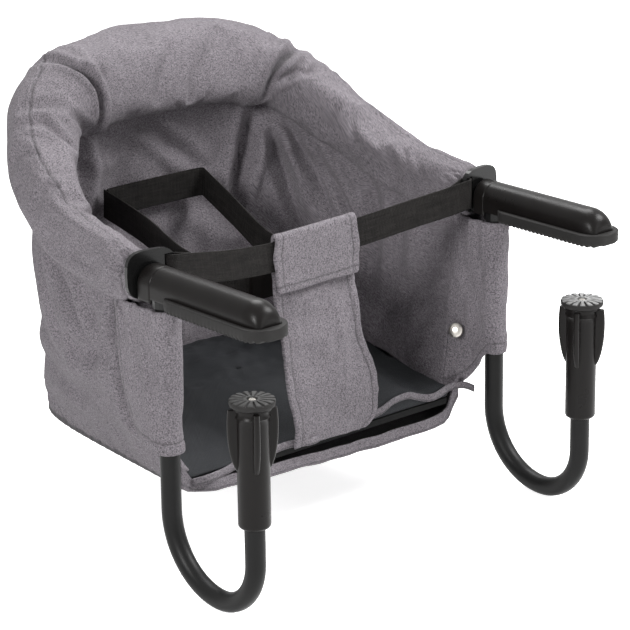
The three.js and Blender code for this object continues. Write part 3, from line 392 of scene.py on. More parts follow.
# Weave: warp and weft threads that pass over and under, each with its own shade along its length.
def makeWeave():
    group, fed, given = newGroup("weave", [
        ("Place", "NodeSocketVector", None), ("Pitch", "NodeSocketFloat", 0.0008),
        ("Slub", "NodeSocketFloat", 0.014)], [("Height", "NodeSocketFloat"), ("Shade", "NodeSocketFloat")])
    split = place(group, "ShaderNodeSeparateXYZ", {0: fed.outputs["Place"]})
    u = maths(group, "DIVIDE", split.outputs[0], fed.outputs["Pitch"])
    v = maths(group, "DIVIDE", split.outputs[1], fed.outputs["Pitch"])
    uRaw, vRaw = (maths(group, "DIVIDE", split.outputs[k], fed.outputs["Slub"]) for k in (0, 1))

    def strand(across, along, salt):
        line = maths(group, "FLOOR", across)
        row = maths(group, "MULTIPLY", line, 0.83)
        where = place(group, "ShaderNodeCombineXYZ", {0: row, 1: along, 2: salt}).outputs[0]
        noise = {"Vector": where, "Scale": 1.0, "Detail": 1.0, "Roughness": 0.6}
        return place(group, "ShaderNodeTexNoise", noise, noise_dimensions="3D").outputs["Fac"]
    warpShade, weftShade = strand(u, vRaw, 0.0), strand(v, uRaw, 7.3)
    over = maths(group, "MULTIPLY", maths(group, "SINE", maths(group, "MULTIPLY", u, math.pi)),
                 maths(group, "SINE", maths(group, "MULTIPLY", v, math.pi)))
    front = maths(group, "ADD", maths(group, "MULTIPLY", over, 0.5), 0.5)
    shade = maths(group, "ADD", maths(group, "MULTIPLY", warpShade, front),
                  maths(group, "MULTIPLY", weftShade, maths(group, "SUBTRACT", 1.0, front)))
    body = maths(group, "ADD", maths(group, "ABSOLUTE", over), maths(group, "MULTIPLY", shade, 0.9))
    group.links.new(body, given.inputs["Height"])
    group.links.new(shade, given.inputs["Shade"])
    return group


# Grain: the fine stipple of moulded plastic, with a slow change in how matt it is.
def makeGrain():
    group, fed, given = newGroup("grain", [
        ("Place", "NodeSocketVector", None), ("Size", "NodeSocketFloat", 1400.0)],
        [("Height", "NodeSocketFloat"), ("Cloud", "NodeSocketFloat")])
    fine = place(group, "ShaderNodeTexNoise", {"Vector": fed.outputs["Place"], "Scale": fed.outputs["Size"],
                                               "Detail": 2.0})
    slow = place(group, "ShaderNodeTexNoise", {"Vector": fed.outputs["Place"], "Scale": 34.0, "Detail": 4.0})
    group.links.new(fine.outputs["Fac"], given.inputs["Height"])
    group.links.new(slow.outputs["Fac"], given.inputs["Cloud"])
    return group


weaveGroup, grainGroup = makeWeave(), makeGrain()


def startMaterial(name, shader):  # what is the same all over goes straight on the shader's sockets
    material = bpy.data.materials.new(name)
    material.use_nodes = True
    tree = material.node_tree
    body = tree.nodes["Principled BSDF"]
    for key, value in shader.items():
        body.inputs[key].default_value = value
    return material, tree, body


def readPlace(tree, laid):  # the laid-out cloth, or the object's own space
    if laid:
        return place(tree, "ShaderNodeUVMap", uv_map="laid").outputs[0]
    return place(tree, "ShaderNodeTexCoord").outputs["Object"]


def addBump(tree, body, height, look):  # the surface's fine relief, for the light only
    bump = place(tree, "ShaderNodeBump", {"Height": height, "Distance": look["bump"],
                                          "Strength": look["bumpStrength"]})
    tree.links.new(bump.outputs[0], body.inputs["Normal"])


# Cloth: thread shades, slow colour variation, and a darker colour where the seam-and-shade attribute rises:
# dark stitch lines, plus painted shade in the rim's mitre folds, below the panels' hems, along the sleeves'
# back edges and on the seat cloth's top face.
def clothMaterial(name, look):
    material, tree, body = startMaterial(name, look["shader"])
    laid = readPlace(tree, True)
    weave = place(tree, "ShaderNodeGroup", node_tree=weaveGroup)
    tree.links.new(laid, weave.inputs["Place"])
    weave.inputs["Pitch"].default_value = look["pitch"]
    weave.inputs["Slub"].default_value = look["slub"]
    ramp = ranged(tree, weave.outputs["Shade"], 0.5 - look["contrast"], 0.5 + look["contrast"])
    threads = blendColours(tree, ramp, look["dark"], look["light"])
    where = readPlace(tree, False)
    cloud = place(tree, "ShaderNodeTexNoise", {"Vector": where, "Scale": 22.0, "Detail": 3.0})
    varied = blendColours(tree, ranged(tree, cloud.outputs["Fac"], 0.3, 0.7), look["low"], look["high"])
    cloth = blendColours(tree, 1.0, threads, varied, "MULTIPLY")
    seam = place(tree, "ShaderNodeAttribute", attribute_name="seam").outputs["Fac"]
    final = blendColours(tree, seam, cloth, look["seam"])
    tree.links.new(final, body.inputs["Base Color"])
    addBump(tree, body, weave.outputs["Height"], look)
    return material


# Hard parts: a slow change of colour and roughness, and the fine grain as a bump.
def hardMaterial(name, look):
    material, tree, body = startMaterial(name, look["shader"])
    where = readPlace(tree, False)
    grain = place(tree, "ShaderNodeGroup", node_tree=grainGroup)
    tree.links.new(where, grain.inputs["Place"])
    grain.inputs["Size"].default_value = look["size"]
    colour = blendColours(tree, grain.outputs["Cloud"], look["dark"], look["light"])
    if "worn" in look:  # edges rubbed pale where the attribute "worn" rises
        rubbed = place(tree, "ShaderNodeAttribute", attribute_name="worn").outputs["Fac"]
        colour = blendColours(tree, rubbed, colour, look["worn"])
    tree.links.new(colour, body.inputs["Base Color"])
    rough = ranged(tree, grain.outputs["Cloud"], 0.3, 0.7, look["smooth"], look["rough"])
    tree.links.new(rough, body.inputs["Roughness"])
    addBump(tree, body, grain.outputs["Height"], look)
    return material


def grey(level, tint=(1, 1, 1)):  # a level with a slight tint
    return tuple(level * part for part in tint) + (1.0,)


finishes = {
    "melange": clothMaterial("melangeCloth", {
        "pitch": 0.0007, "slub": 0.0016, "contrast": 0.17, "dark": grey(0.077, (1, 0.91, 1.0)),
        "light": grey(0.28, (1, 0.915, 1.0)), "low": grey(0.86), "high": grey(1.0), "seam": grey(0.03),
        "bump": 0.0003, "bumpStrength": 0.5,
        "shader": {"Roughness": 0.92, "Sheen Weight": 0.08, "Sheen Roughness": 0.5,
                   "Specular IOR Level": 0.08}}),
    "nylon": clothMaterial("nylonCloth", {
        "pitch": 0.0006, "slub": 0.02, "contrast": 0.3, "dark": grey(0.02, (0.95, 1, 1.1)),
        "light": grey(0.04, (0.95, 1, 1.1)), "low": grey(0.85), "high": grey(1.0), "seam": grey(0.01),
        "bump": 0.0002, "bumpStrength": 0.4,
        "shader": {"Roughness": 0.7, "Specular IOR Level": 0.15}}),
    "webbing": clothMaterial("webbingCloth", {
        "pitch": 0.0014, "slub": 0.02, "contrast": 0.25, "dark": grey(0.003, (1.1, 1, 0.95)),
        "light": grey(0.021, (1.1, 1, 0.95)), "low": grey(0.85), "high": grey(1.0), "seam": grey(0.004),
        "bump": 0.0006, "bumpStrength": 0.8,
        "shader": {"Roughness": 0.75, "Specular IOR Level": 0.12}}),
    "foam": clothMaterial("foamBody", {
        "pitch": 0.0015, "slub": 0.004, "contrast": 0.3, "dark": grey(0.5), "light": grey(0.7),
        "low": grey(0.9), "high": grey(1.0), "seam": grey(0.4), "bump": 0.0006, "bumpStrength": 0.5,
        "shader": {"Roughness": 0.95}}),
    "board": hardMaterial("boardSheet", {
        "dark": grey(0.006), "light": grey(0.012), "size": 900.0, "smooth": 0.7, "rough": 0.85,
        "bump": 0.0002, "bumpStrength": 0.4, "shader": {"Specular IOR Level": 0.12}}),
    "steel": hardMaterial("satinPaint", {
        "dark": grey(0.006), "light": grey(0.010), "size": 1500.0, "smooth": 0.34, "rough": 0.46,
        "bump": 0.00008, "bumpStrength": 0.5, "shader": {"Specular IOR Level": 0.13}}),
    "moulding": hardMaterial("mattMoulding", {
        "dark": grey(0.0045, (1.15, 1, 0.95)), "light": grey(0.008, (1.15, 1, 0.95)), "size": 1500.0,
        "smooth": 0.26, "rough": 0.36, "bump": 0.00008, "bumpStrength": 0.5,
        "shader": {"Specular IOR Level": 0.125}}),
    "gloss": hardMaterial("glossMoulding", {
        "dark": grey(0.004), "light": grey(0.007), "size": 700.0, "smooth": 0.2, "rough": 0.3,
        "bump": 0.00004, "bumpStrength": 0.3, "shader": {"Specular IOR Level": 0.2}}),
    "rubber": hardMaterial("padRubber", {
        "worn": grey(0.34), "dark": grey(0.013, (1.04, 1, 0.98)), "light": grey(0.022, (1.04, 1, 0.98)),
        "size": 1100.0, "smooth": 0.55, "rough": 0.75, "bump": 0.00015, "bumpStrength": 0.5,
        "shader": {"Specular IOR Level": 0.15}}),
    "zinc": hardMaterial("platedZinc", {
        "dark": grey(0.36, (1, 0.95, 0.88)), "light": grey(0.46, (1, 0.95, 0.88)), "size": 500.0,
        "smooth": 0.3, "rough": 0.36, "bump": 0.00002, "bumpStrength": 0.1, "shader": {"Metallic": 1.0}}),
}
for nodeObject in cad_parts.values():  # every CAD node starts from its own finish
    given = nodeObject.data.materials
    words = [word for word in finishes if given and word in given[0].name]
    if words:
        given.clear()
        given.append(finishes[words[0]])
edgeLook = {"width": 0.9, "segments": 3, "angle": 38}
for word in ("left", "right"):  # the moulded joint's hard edges, rounded off
    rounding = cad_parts["connector_" + word].modifiers.new("rounding", "BEVEL")
    rounding.limit_method, rounding.harden_normals = "ANGLE", True
    rounding.width, rounding.segments = edgeLook["width"] * mm, edgeLook["segments"]
    rounding.angle_limit = math.radians(edgeLook["angle"])
print("materials made")


def settle(obj, slotName, *replaced, body="chair"):  # hands a finished piece to its body
    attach(obj, body)
    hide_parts(*replaced)


# The rail that carries everything soft.
railShape = {
    "halfWidth": 175, "depth": 243, "square": 3.45, "low": 13, "rise": 102, "power": 2.23, "level": 34,
    "points": 6001, "step": 1.5,
}


def toSide(points, side):  # out to the arm on one side, mirrored on the left
    return points * [side, 1, 1] + [side * railShape["halfWidth"], 0, 0]


# Plan: a superellipse, half width times cos and depth times sin, both to the power 2 / square.
def planCurve(halfWidth, depth, square, heightAt):
    turn = np.linspace(0, math.pi, railShape["points"])
    cos, sin = np.cos(turn), np.abs(np.sin(turn))
    y = depth * sin ** (2 / square)
    points = np.stack([-halfWidth * powered(cos, 2 / square), y, heightAt(y)], 1)
    run = runAlong(points, 0)
    return {"points": points, "run": run, "length": run[-1]}


def onCurve(curve, share):  # point, outward way and upward way at shares of the length
    def spot(distance):
        return np.stack([np.interp(distance, curve["run"], curve["points"][:, k]) for k in range(3)], -1)
    at, step = np.asarray(share, float) * curve["length"], railShape["step"]
    tangent = unitRows(spot(np.minimum(at + step, curve["length"])) - spot(np.maximum(at - step, 0)))
    out = unitRows(np.stack([-tangent[..., 1], tangent[..., 0], 0 * tangent[..., 0]], -1))
    return spot(at), out, np.cross(tangent, out)


def shareAtDepth(curve, depth):  # how far along the curve its left side reaches a depth
    left = curve["points"][:, 0] < 0
    return np.interp(depth, curve["points"][left, 1], curve["run"][left]) / curve["length"]


def climb(y):  # 0 along the arms, then a power curve up to 1 at the back
    past = np.maximum(y - railShape["level"], 0) / (railShape["depth"] - railShape["level"])
    return past ** railShape["power"]


rail = planCurve(railShape["halfWidth"], railShape["depth"], railShape["square"],
                 lambda y: railShape["low"] + railShape["rise"] * climb(y))


# Padded rim.
rimLook = {
    "start": 24, "armWidth": 38, "backWidth": 64, "armHeight": 43, "backHeight": 60, "round": 2.3,
    "noseShare": 0.86, "noseLength": 26, "stations": 560, "sides": 124, "bore": 9.5, "collarBore": 12.4,
    "ridge": 3, "ridgeAngle": 1.15, "ridgeSpread": 0.45,
    "girth": 27,  # millimetres of cloth for one radian round the roll
    # lines below: depth, width and the places along the rail and round the roll in radians
    "mitres": [
        (7.0, 4.4, [(287.5, 1.2), (291.7, 1.68), (292, 2.09), (293.7, 2.46), (295.8, 2.93), (294.5, 3.2),
                    (286.5, 3.74), (279, 3.98)]),
        (7.0, 4.4, [(522.3, 1.1), (516, 1.9), (510.9, 2.41), (505.8, 3.01), (505.8, 3.4), (509, 3.7)])],
    "creases": [
        (3.6, 3.6, [(513, 3.4), (513, 3.17), (522.3, 2.83), (528.4, 2.33), (526.4, 1.4)]),
        (2.6, 3.8, [(516, 3.1), (526, 2.7), (537.7, 2.25), (544.9, 1.5)]),
        (2.6, 4.4, [(224.7, 1.1), (228.9, 1.62), (221.7, 1.88), (216.5, 2.17), (211, 2.6)]),
        (3.0, 4.6, [(270, 3.9), (257, 3.3), (246, 2.7)]),
        (2.2, 4.2, [(300, 3.1), (309, 2.7), (315, 2.1)]),
        (1.8, 4.6, [(240, 1.3), (247, 1.9), (250, 2.5)]),
        (2.0, 5.2, [(366, 3.5), (373, 3.14), (383, 2.8), (388, 2.4)]),
        (2.2, 5.6, [(406, 3.6), (414, 3.25), (432.7, 2.78), (444, 2.3)]),
        (1.3, 5.0, [(330, 3.8), (336, 3.2), (338, 2.6)]),
        (1.6, 4.0, [(306, 1.5), (300, 2.0), (297, 2.4)]),
        (1.5, 4.4, [(470, 3.6), (478, 3.1), (480, 2.7)]),
        (0.7, 4.2, [(596, 2.0), (607.7, 2.78), (630, 3.2)]),
        (0.6, 4.0, [(624, 2.0), (640, 2.5), (652, 3.1)]),
        (0.7, 4.0, [(640, 2.0), (650, 2.59), (667, 3.2)]),
        (0.6, 4.0, [(655, 1.9), (671, 2.4), (688, 3.2)]),
        (0.6, 4.0, [(672, 1.9), (690, 2.6), (705, 3.2)]),
        (1.2, 5.0, [(575, 2.2), (582, 2.9), (580, 3.6)]),
        (1.2, 4.6, [(120, 1.9), (128, 2.5), (126, 3.1)]),
        (1.2, 4.6, [(80, 2.1), (88, 2.7), (86, 3.2)]),
        (1.3, 5.0, [(150, 0.2), (158, 0.8), (156, 1.2)]),
        (1.3, 5.0, [(200, 0.1), (204, 0.7), (196, 1.15)])],
    "piping": [(24, 1.25), (33, 1.28), (72, 1.52), (116, 1.57), (152, 1.41), (194, 1.31), (237, 1.36),
               (276, 1.47), (292, 1.2), (320, 0.9), (400, 0.75), (480, 0.85), (522, 1.1), (562, 1.18),
               (636, 1.34), (712, 1.54), (744, 1.4)],
    "waves": [(0.7, 60, 5), (0.12, 22, 8)],  # height, wave length and seed
    "welt": 0.7, "weltAt": 2.0, "weltWidth": 1.4, "sunk": 1.0, "sunkWidth": 0.9,
    "pucker": 0.3, "puckerWave": (9, (1, 3)), "puckerReach": 7,
    "cuff": 7.5, "cuffDepth": 1.8, "cuffWidth": 1.3, "gather": 0.9, "gatherWave": (8, (3, 1)), "gatherAt": 5,
    "gatherReach": 9, "seamLine": (0.7, 0.55), "cuffLine": (0.9, 0.5), "mitreShade": 0.45, "mitreFull": 5,
    "mitreShoulder": 0.55, "droop": 10.5, "droopAngle": 4.12, "droopSpread": 0.8, "droopFrom": 262,
    "droopTo": 520, "droopFade": 34, "tuck": 2.5, "seamAngle": 4.71,
    # the simulation's grid, how much smaller it starts, and from where to where it is held
    "trial": (280, 62), "slack": 1.2, "heldFall": (1.5, 5), "heldCuff": (-3, 1), "heldSeam": (-9, -5),
    # the end's way in to the collar, as shares, its bulge, and the bore's stations and collar length
    "closing": (0.12, 0.3, 0.55, 0.8, 1), "bulge": 2.2, "boreStations": 90, "collar": 44,
}


def rimSize(y):  # half width and half height of the roll at a depth
    grown = climb(y)
    return (mix(rimLook["armWidth"], rimLook["backWidth"], grown) / 2,
            mix(rimLook["armHeight"], rimLook["backHeight"], grown) / 2)


def rimUnderside(y, across):  # how far below the rail the roll's underside is, less the cloth tucked in
    wide, high = rimSize(y)
    power = rimLook["round"]
    return high * (1 - (np.abs(across) / wide) ** power) ** (1 / power) - rimLook["tuck"]


# Rim: superellipse sections on the rail, each point pushed out along its own way by the folds and seams.
def rimSurface(share, theta, relief):
    point, out, rise = onCurve(rail, share)
    y = point[..., 1]
    wide, high = rimSize(y)
    nose = mix(rimLook["noseShare"], 1, np.clip((y - rimLook["start"]) / rimLook["noseLength"], 0, 1))
    cos, sin = np.cos(theta), np.sin(theta)
    ridge = rimLook["ridge"] * bell(theta - rimLook["ridgeAngle"], rimLook["ridgeSpread"])
    across = wide * nose * powered(cos, 2 / rimLook["round"]) + (ridge + relief) * cos
    lift = high * nose * powered(sin, 2 / rimLook["round"]) + (ridge + relief) * sin
    return point + out * across[..., None] + rise * lift[..., None]


def laidLines(lines):  # places round the roll from radians to millimetres of cloth
    return [(depth, width, [(a, b * rimLook["girth"]) for a, b in path]) for depth, width, path in lines]


def rimMove(start, length):  # the roll blown up between its mitres, cuffs and the seam under it
    look = rimLook
    share = np.linspace(start, 1 - start, look["trial"][0])[:, None]
    theta = np.linspace(0, 2 * np.pi, look["trial"][1], endpoint=False)[None, :]
    s, t = np.broadcast_arrays(share * length, theta * look["girth"])
    fall = foldField(s, t, laidLines(look["mitres"]), 0)
    ends = np.minimum(s - start * length, (1 - start) * length - s)
    under = np.abs(theta - look["seamAngle"]) * look["girth"]
    cuffFrom, cuffTo = (step - look["cuff"] for step in look["heldCuff"])
    pins = np.maximum.reduce([ease(-fall, *look["heldFall"]), ease(-ends, cuffFrom, cuffTo),
                              ease(-under, *look["heldSeam"]) + 0 * s])
    relief = fall + foldField(s, t, laidLines(look["creases"])) + rimHang(s, theta) - look["slack"]
    fine = look["stations"], look["sides"]
    return clothMove(rimSurface(share, theta, relief), pins, stuffedLook, fine, True)


def rimHang(s, theta):  # the back roll's belly, which hangs over the lining
    look = rimLook
    along = ease(s, look["droopFrom"], look["droopFrom"] + look["droopFade"])
    along = along * ease(-s, -look["droopTo"], look["droopFade"] - look["droopTo"])
    return look["droop"] * along * bell(theta - look["droopAngle"], look["droopSpread"])


# Roll: folds, ripples, the belly at the back, a piped seam (a welt on both sides of a sunk line) and a cuff
# drawn in at each end are added up, the simulated move comes on top, and the shell closes round the bore.
def makeRim():
    look = rimLook
    start = shareAtDepth(rail, look["start"])
    length = rail["length"]
    share = np.linspace(start, 1 - start, look["stations"])[:, None]
    theta = np.linspace(0, 2 * np.pi, look["sides"], endpoint=False)[None, :]
    s, t = np.broadcast_arrays(share * length, theta * look["girth"])
    mitreFall = foldField(s, t, laidLines(look["mitres"]), look["mitreShoulder"])
    relief = mitreFall + foldField(s, t, laidLines(look["creases"])) + ripple(s, t, look["waves"])
    relief = relief + rimHang(s, theta)
    piping = np.array(look["piping"])
    gap = t - np.interp(s, piping[:, 0], piping[:, 1]) * look["girth"]
    pucker = softNoise(s, t, 12, *look["puckerWave"]) * bell(gap, look["puckerReach"])
    relief = relief + look["welt"] * bell(np.abs(gap) - look["weltAt"], look["weltWidth"])
    relief = relief - look["sunk"] * bell(gap, look["sunkWidth"]) + look["pucker"] * pucker
    cuffGap = np.minimum(s - start * length, (1 - start) * length - s) - look["cuff"]
    gathers = softNoise(s, t, 13, *look["gatherWave"]) * bell(cuffGap - look["gatherAt"], look["gatherReach"])
    relief = relief - look["cuffDepth"] * bell(cuffGap, look["cuffWidth"]) + look["gather"] * gathers
    outer = rimSurface(share, theta, relief) + rimMove(start, length)
    seam = np.maximum(stitched(gap, look["seamLine"]), stitched(cuffGap, look["cuffLine"]))
    # painted shade: the mitre folds are darkened by their depth, on top of the stitch lines
    seam = np.maximum(seam, np.clip(-mitreFall / look["mitreFull"], 0, 1) ** 3 * look["mitreShade"])

    def ring(spot, radius):  # a round ring on the rail
        point, out, rise = onCurve(rail, np.array([spot]))
        around = out[:, None] * np.cos(theta)[..., None] + rise[:, None] * np.sin(theta)[..., None]
        return point[:, None] + radius * around

    def closing(edge, spot):  # the roll's end, tucked in towards the collar
        inner = ring(spot, look["collarBore"])[0]
        inward = np.array(look["closing"])[:, None, None]
        bulge = look["bulge"] * np.sin(np.pi * 0.9 * inward)
        return mix(edge, inner, inward) - bulge * np.array([0, 1, 0])
    spots = np.linspace(start, 1 - start, look["boreStations"])
    inCollar = np.minimum(spots, 1 - spots) * length < look["collar"]
    bore = np.concatenate([ring(spot, look["collarBore"] if wide else look["bore"])
                           for spot, wide in zip(spots, inCollar)])
    points = np.concatenate([outer, closing(outer[-1], 1 - start), bore[::-1][1:-1],
                             closing(outer[0], start)[::-1]])
    seams = np.zeros(points.shape[:2])
    seams[:len(seam)] = seam
    rim = gridPiece("rimPad", points * mm, finishes["melange"], closedU=True, fields={"seam": seams})
    settle(rim, "melange", "rim_cover_left", "rim_cover_back", "rim_cover_right", "rim_foam")


makeRim()
print("rim made")


# Fabric body.
bodyLook = {
    "front": 46, "topOut": 7, "halfWidth": 146, "depth": 238, "square": 8, "bottom": 168, "backLift": 15,
    "hang": 3, "seamShare": 0.36, "seamGap": 0.0007, "wall": 2.2, "seatFront": 20, "deeper": 1.6,
    "columns": 150, "rows": 110, "measured": 40, "waves": [(0.8, 70, 0), (0.25, 24, 1)],
    "hemAt": 6, "hemDepth": 0.7, "hemLine": (0.8, 0.5), "hemUnderShade": 0.7, "hem": 0.6, "hemWidth": 7,
    # millimetres from the top, the foot and the ends over which the folds come up
    "fades": [(0, 12), (0, 10), (0, 7)],
}
liningLook = {"topIn": 5, "halfWidth": 138, "depth": 208, "square": 5, "hang": 3,
              "lift": 27.0, "dip": 15, "dipTo": (26, 105), "deeper": 1.8,
              "columns": 360, "rows": 130, "measured": 80, "waves": [(0.9, 60, 0), (0.35, 24, 1)],
              "fades": [(-6, 4), (0, 10), (0, 8)],
              # depth, width and the places along the wall and down it
              "folds": [
                  (2.6, 6, [(296, 8), (300, 15), (319, 31), (344, 48), (360, 60)]),
                  (5.5, 7, [(226, 0), (231, 18), (236, 40), (234, 70)]),
                  (3.0, 8, [(212, 0), (216, 30), (226, 70), (232, 110)]),
                  (7.0, 7, [(410, -8), (409, 2), (405, 25), (400, 47), (391, 74), (384, 100)]),
                  (5.5, 8, [(416, -4), (424, 20), (433, 44), (448, 84), (455, 110)]),
                  (4.5, 8, [(424, -4), (446, 14), (470, 40), (488, 76)]),
                  (4.0, 7, [(462, 6), (482, 31), (491, 44), (504, 58), (514, 84)]),
                  (3.6, 9, [(522, 0), (531, 23), (535, 54), (526, 115)]),
                  (2.6, 9, [(556, 4), (563, 40), (560, 90)]),
                  (2.6, 10, [(340, 70), (347, 78), (374, 92), (398, 96)]),
                  (2.2, 12, [(270, 40), (278, 90), (300, 125)]),
                  (2.6, 10, [(150, 10), (158, 50), (150, 110)]), (2.4, 10, [(80, 10), (84, 60), (76, 110)]),
                  (2.2, 10, [(440, 120), (500, 132), (560, 136)])]}


def floorHeight(y):  # the bottom rises evenly towards the back
    return -bodyLook["bottom"] + bodyLook["backLift"] * y / bodyLook["depth"]


def liningHeight(y):  # the lining ends above the bottom, lower at the front
    return floorHeight(y) + liningLook["lift"] - liningLook["dip"] * (1 - ease(y, *liningLook["dipTo"]))


bodyFloor = planCurve(bodyLook["halfWidth"], bodyLook["depth"], bodyLook["square"], floorHeight)
liningFloor = planCurve(liningLook["halfWidth"], liningLook["depth"], liningLook["square"], liningHeight)
bodyWall = {"out": bodyLook["topOut"], "floor": bodyFloor, "hang": bodyLook["hang"],
            "topStart": shareAtDepth(rail, bodyLook["front"]),
            "floorStart": shareAtDepth(bodyFloor, bodyLook["seatFront"])}
liningWall = {"out": -liningLook["topIn"], "floor": liningFloor, "hang": liningLook["hang"],
              "topStart": shareAtDepth(rail, bodyLook["front"]),
              "floorStart": shareAtDepth(liningFloor, bodyLook["front"] - bodyLook["seatFront"])}


# Wall: u runs round from the left arm to the right one, v down; the sides fall late and the height evenly.
def wallPoint(wall, u, v, offset=0.0):
    u, v, offset = np.broadcast_arrays(*(np.asarray(value, float) for value in (u, v, offset)))
    topPoint, topOut, topRise = onCurve(rail, mix(wall["topStart"], 1 - wall["topStart"], u))
    lowPoint, lowOut, _ = onCurve(wall["floor"], mix(wall["floorStart"], 1 - wall["floorStart"], u))
    start = topPoint + topOut * (wall["out"] + offset)[..., None]
    start[..., 2] -= rimUnderside(topPoint[..., 1], wall["out"]) / topRise[..., 2]
    end = lowPoint + lowOut * offset[..., None]
    hang = (v ** wall["hang"])[..., None]
    result = start * (1 - hang) + end * hang
    result[..., 2] = mix(start[..., 2], end[..., 2], v)
    return result


# A sheet on a wall: its flat size in millimetres, its stops both ways and the places on it.
def wallSheet(wall, start, end, look):
    u, v = np.linspace(start, end, look["measured"])[:, None], np.linspace(0, 1, 30)[None, :]
    coarse = wallPoint(wall, u, v)
    wide, tall = runAlong(coarse, 0)[-1].mean(), runAlong(coarse, 1)[:, -1].mean()
    u = edgeStops(look["columns"], wide, bodyLook["wall"])[:, None]
    v = edgeStops(look["rows"], tall, bodyLook["wall"])[None, :]
    s, t = np.broadcast_arrays(u * wide, v * tall)
    return {"wall": wall, "start": start, "end": end, "wide": wide, "tall": tall,
            "u": u, "v": v, "s": s, "t": t}


def edgeFade(sheet, fades):  # 0 at the sheet's edges, 1 further in
    s, t = sheet["s"], sheet["t"]
    top, foot, ends = fades
    fade = ease(t, *top) * ease(sheet["tall"] - t, *foot)
    return fade * ease(s, *ends) * ease(sheet["wide"] - s, *ends)


# The sheet let loose between its held edges, starting from its folds, on a grid of about 4 mm; what it moved
# by comes back on a grid four times finer, and each place takes the nearest of those.
def wallMove(sheet, folds, sign):
    look = trialLook
    wide, tall = sheet["wide"], sheet["tall"]
    count = max(int(wide / look["pitch"]), look["least"]), int(tall / look["pitch"])
    u, v = np.linspace(0, 1, count[0])[:, None], np.linspace(0, 1, count[1])[None, :]
    s, t = np.broadcast_arrays(u * wide, v * tall)
    near = np.minimum.reduce([s, wide - s, t, tall - t])
    relief = sign * foldField(s, t, folds) * ease(near, 0, look["fade"])
    pins = np.maximum(ease(-near, *look["held"]), look["slight"])
    start = wallPoint(sheet["wall"], mix(sheet["start"], sheet["end"], u), v, -bodyLook["wall"] / 2 + relief)
    fine = look["finer"] * count[0], look["finer"] * count[1]
    move = clothMove(start, pins, hungLook, fine)
    i = np.round(sheet["u"].ravel() * (fine[0] - 1)).astype(int)
    j = np.round(sheet["v"].ravel() * (fine[1] - 1)).astype(int)
    return move[i][:, j]


def sheetPiece(name, sheet, relief, folds, sign, fields=None, **hem):  # relief and simulated move on the wall
    u = mix(sheet["start"], sheet["end"], sheet["u"])
    points = wallPoint(sheet["wall"], u, sheet["v"], -bodyLook["wall"] / 2 + relief)
    points = points + wallMove(sheet, folds, sign)
    piece = clothPiece(name, points * mm, bodyLook["wall"] * mm, finishes["melange"], fields, **hem)
    return piece


# Panel: folds and ripples that fade at its edges, a hem line along its lower edge, and painted shade on the
# band below that line.
def makePanel(name, start, end, folds, seed, replaced):
    look = bodyLook
    sheet = wallSheet(bodyWall, start, end, look)
    s, t = sheet["s"], sheet["t"]
    relief = look["deeper"] * foldField(s, t, folds) + ripple(s, t, look["waves"], seed)
    relief = relief * edgeFade(sheet, look["fades"])
    hemGap = sheet["tall"] - look["hemAt"] - t
    hemEnds = ease(s, 0, 5) * ease(sheet["wide"] - s, 0, 5)
    relief = relief - look["hemDepth"] * bell(hemGap, 1.0) * hemEnds
    # painted shade: the band from the hem line down to the bottom edge is darkened as if turned away from the
    # light
    seam = np.maximum(stitched(hemGap, look["hemLine"]), ease(-hemGap, 0, 1) * look["hemUnderShade"])
    panel = sheetPiece(name, sheet, relief, folds, 1, {"seam": seam}, hem=look["hem"] * mm,
                       hemWidth=look["hemWidth"] * mm, hemSides=(0, 0, 0, 1))
    settle(panel, "melange", replaced)


panelFolds = {
    "left": [
        (4.4, 5, [(10, -4), (12, 40), (11, 90), (9, 134)]),
        (3.4, 7, [(122, -2), (98, 14), (74, 30), (56, 56), (44, 92)]),
        (2.6, 7, [(60, 0), (50, 14), (38, 34), (30, 60)]),
        (2.6, 8, [(150, 0), (128, 26), (104, 60), (92, 100)]), (2.4, 10, [(96, 72), (60, 76), (18, 64)]),
        (2.6, 9, [(190, 6), (176, 50), (170, 100)]), (2.0, 10, [(40, 112), (90, 130), (150, 128)]),
        (1.6, 7, [(20, 20), (24, 70), (16, 120)]), (1.8, 11, [(210, 70), (190, 120), (150, 150)])],
    "back": [
        (2.6, 12, [(40, 0), (46, 60), (50, 120)]), (2.4, 12, [(110, 10), (108, 80), (112, 150)]),
        (2.4, 12, [(160, 0), (156, 60), (150, 120)]), (2.0, 14, [(30, 130), (90, 160), (170, 150)]),
        (2.4, 9, [(12, 0), (30, 30), (60, 50)]), (2.4, 9, [(180, 0), (160, 34), (130, 52)]),
        (1.8, 12, [(70, 180), (100, 196), (150, 190)])],
    "right": [
        (2.4, 6, [(230, -4), (228, 60), (230, 130)]),
        (2.8, 9, [(60, 0), (76, 30), (92, 80)]), (2.4, 9, [(110, 0), (122, 40), (136, 90)]),
        (2.2, 10, [(190, 40), (150, 90), (90, 110)]), (2.2, 9, [(210, 10), (204, 60), (214, 110)]),
        (1.8, 10, [(60, 120), (120, 140), (190, 140)])],
}
cut, slit = bodyLook["seamShare"], bodyLook["seamGap"]
makePanel("sidePanelLeft", 0, cut - slit, panelFolds["left"], 21, "side_panel_left")
makePanel("backPanel", cut + slit, 1 - cut - slit, panelFolds["back"], 31, "back_panel")
makePanel("sidePanelRight", 1 - cut + slit, 1, panelFolds["right"], 41, "side_panel_right")


# Lining: the same, with its folds turned inwards and carried on under the roll.
def makeLining():
    look = liningLook
    sheet = wallSheet(liningWall, 0, 1, look)
    s, t = sheet["s"], sheet["t"]
    relief = look["deeper"] * foldField(s, t, look["folds"]) + ripple(s, t, look["waves"], 51)
    relief = -relief * edgeFade(sheet, look["fades"])
    lining = sheetPiece("innerLining", sheet, relief, look["folds"], -1)
    settle(lining, "melange", "inner_lining")


makeLining()
print("body made")


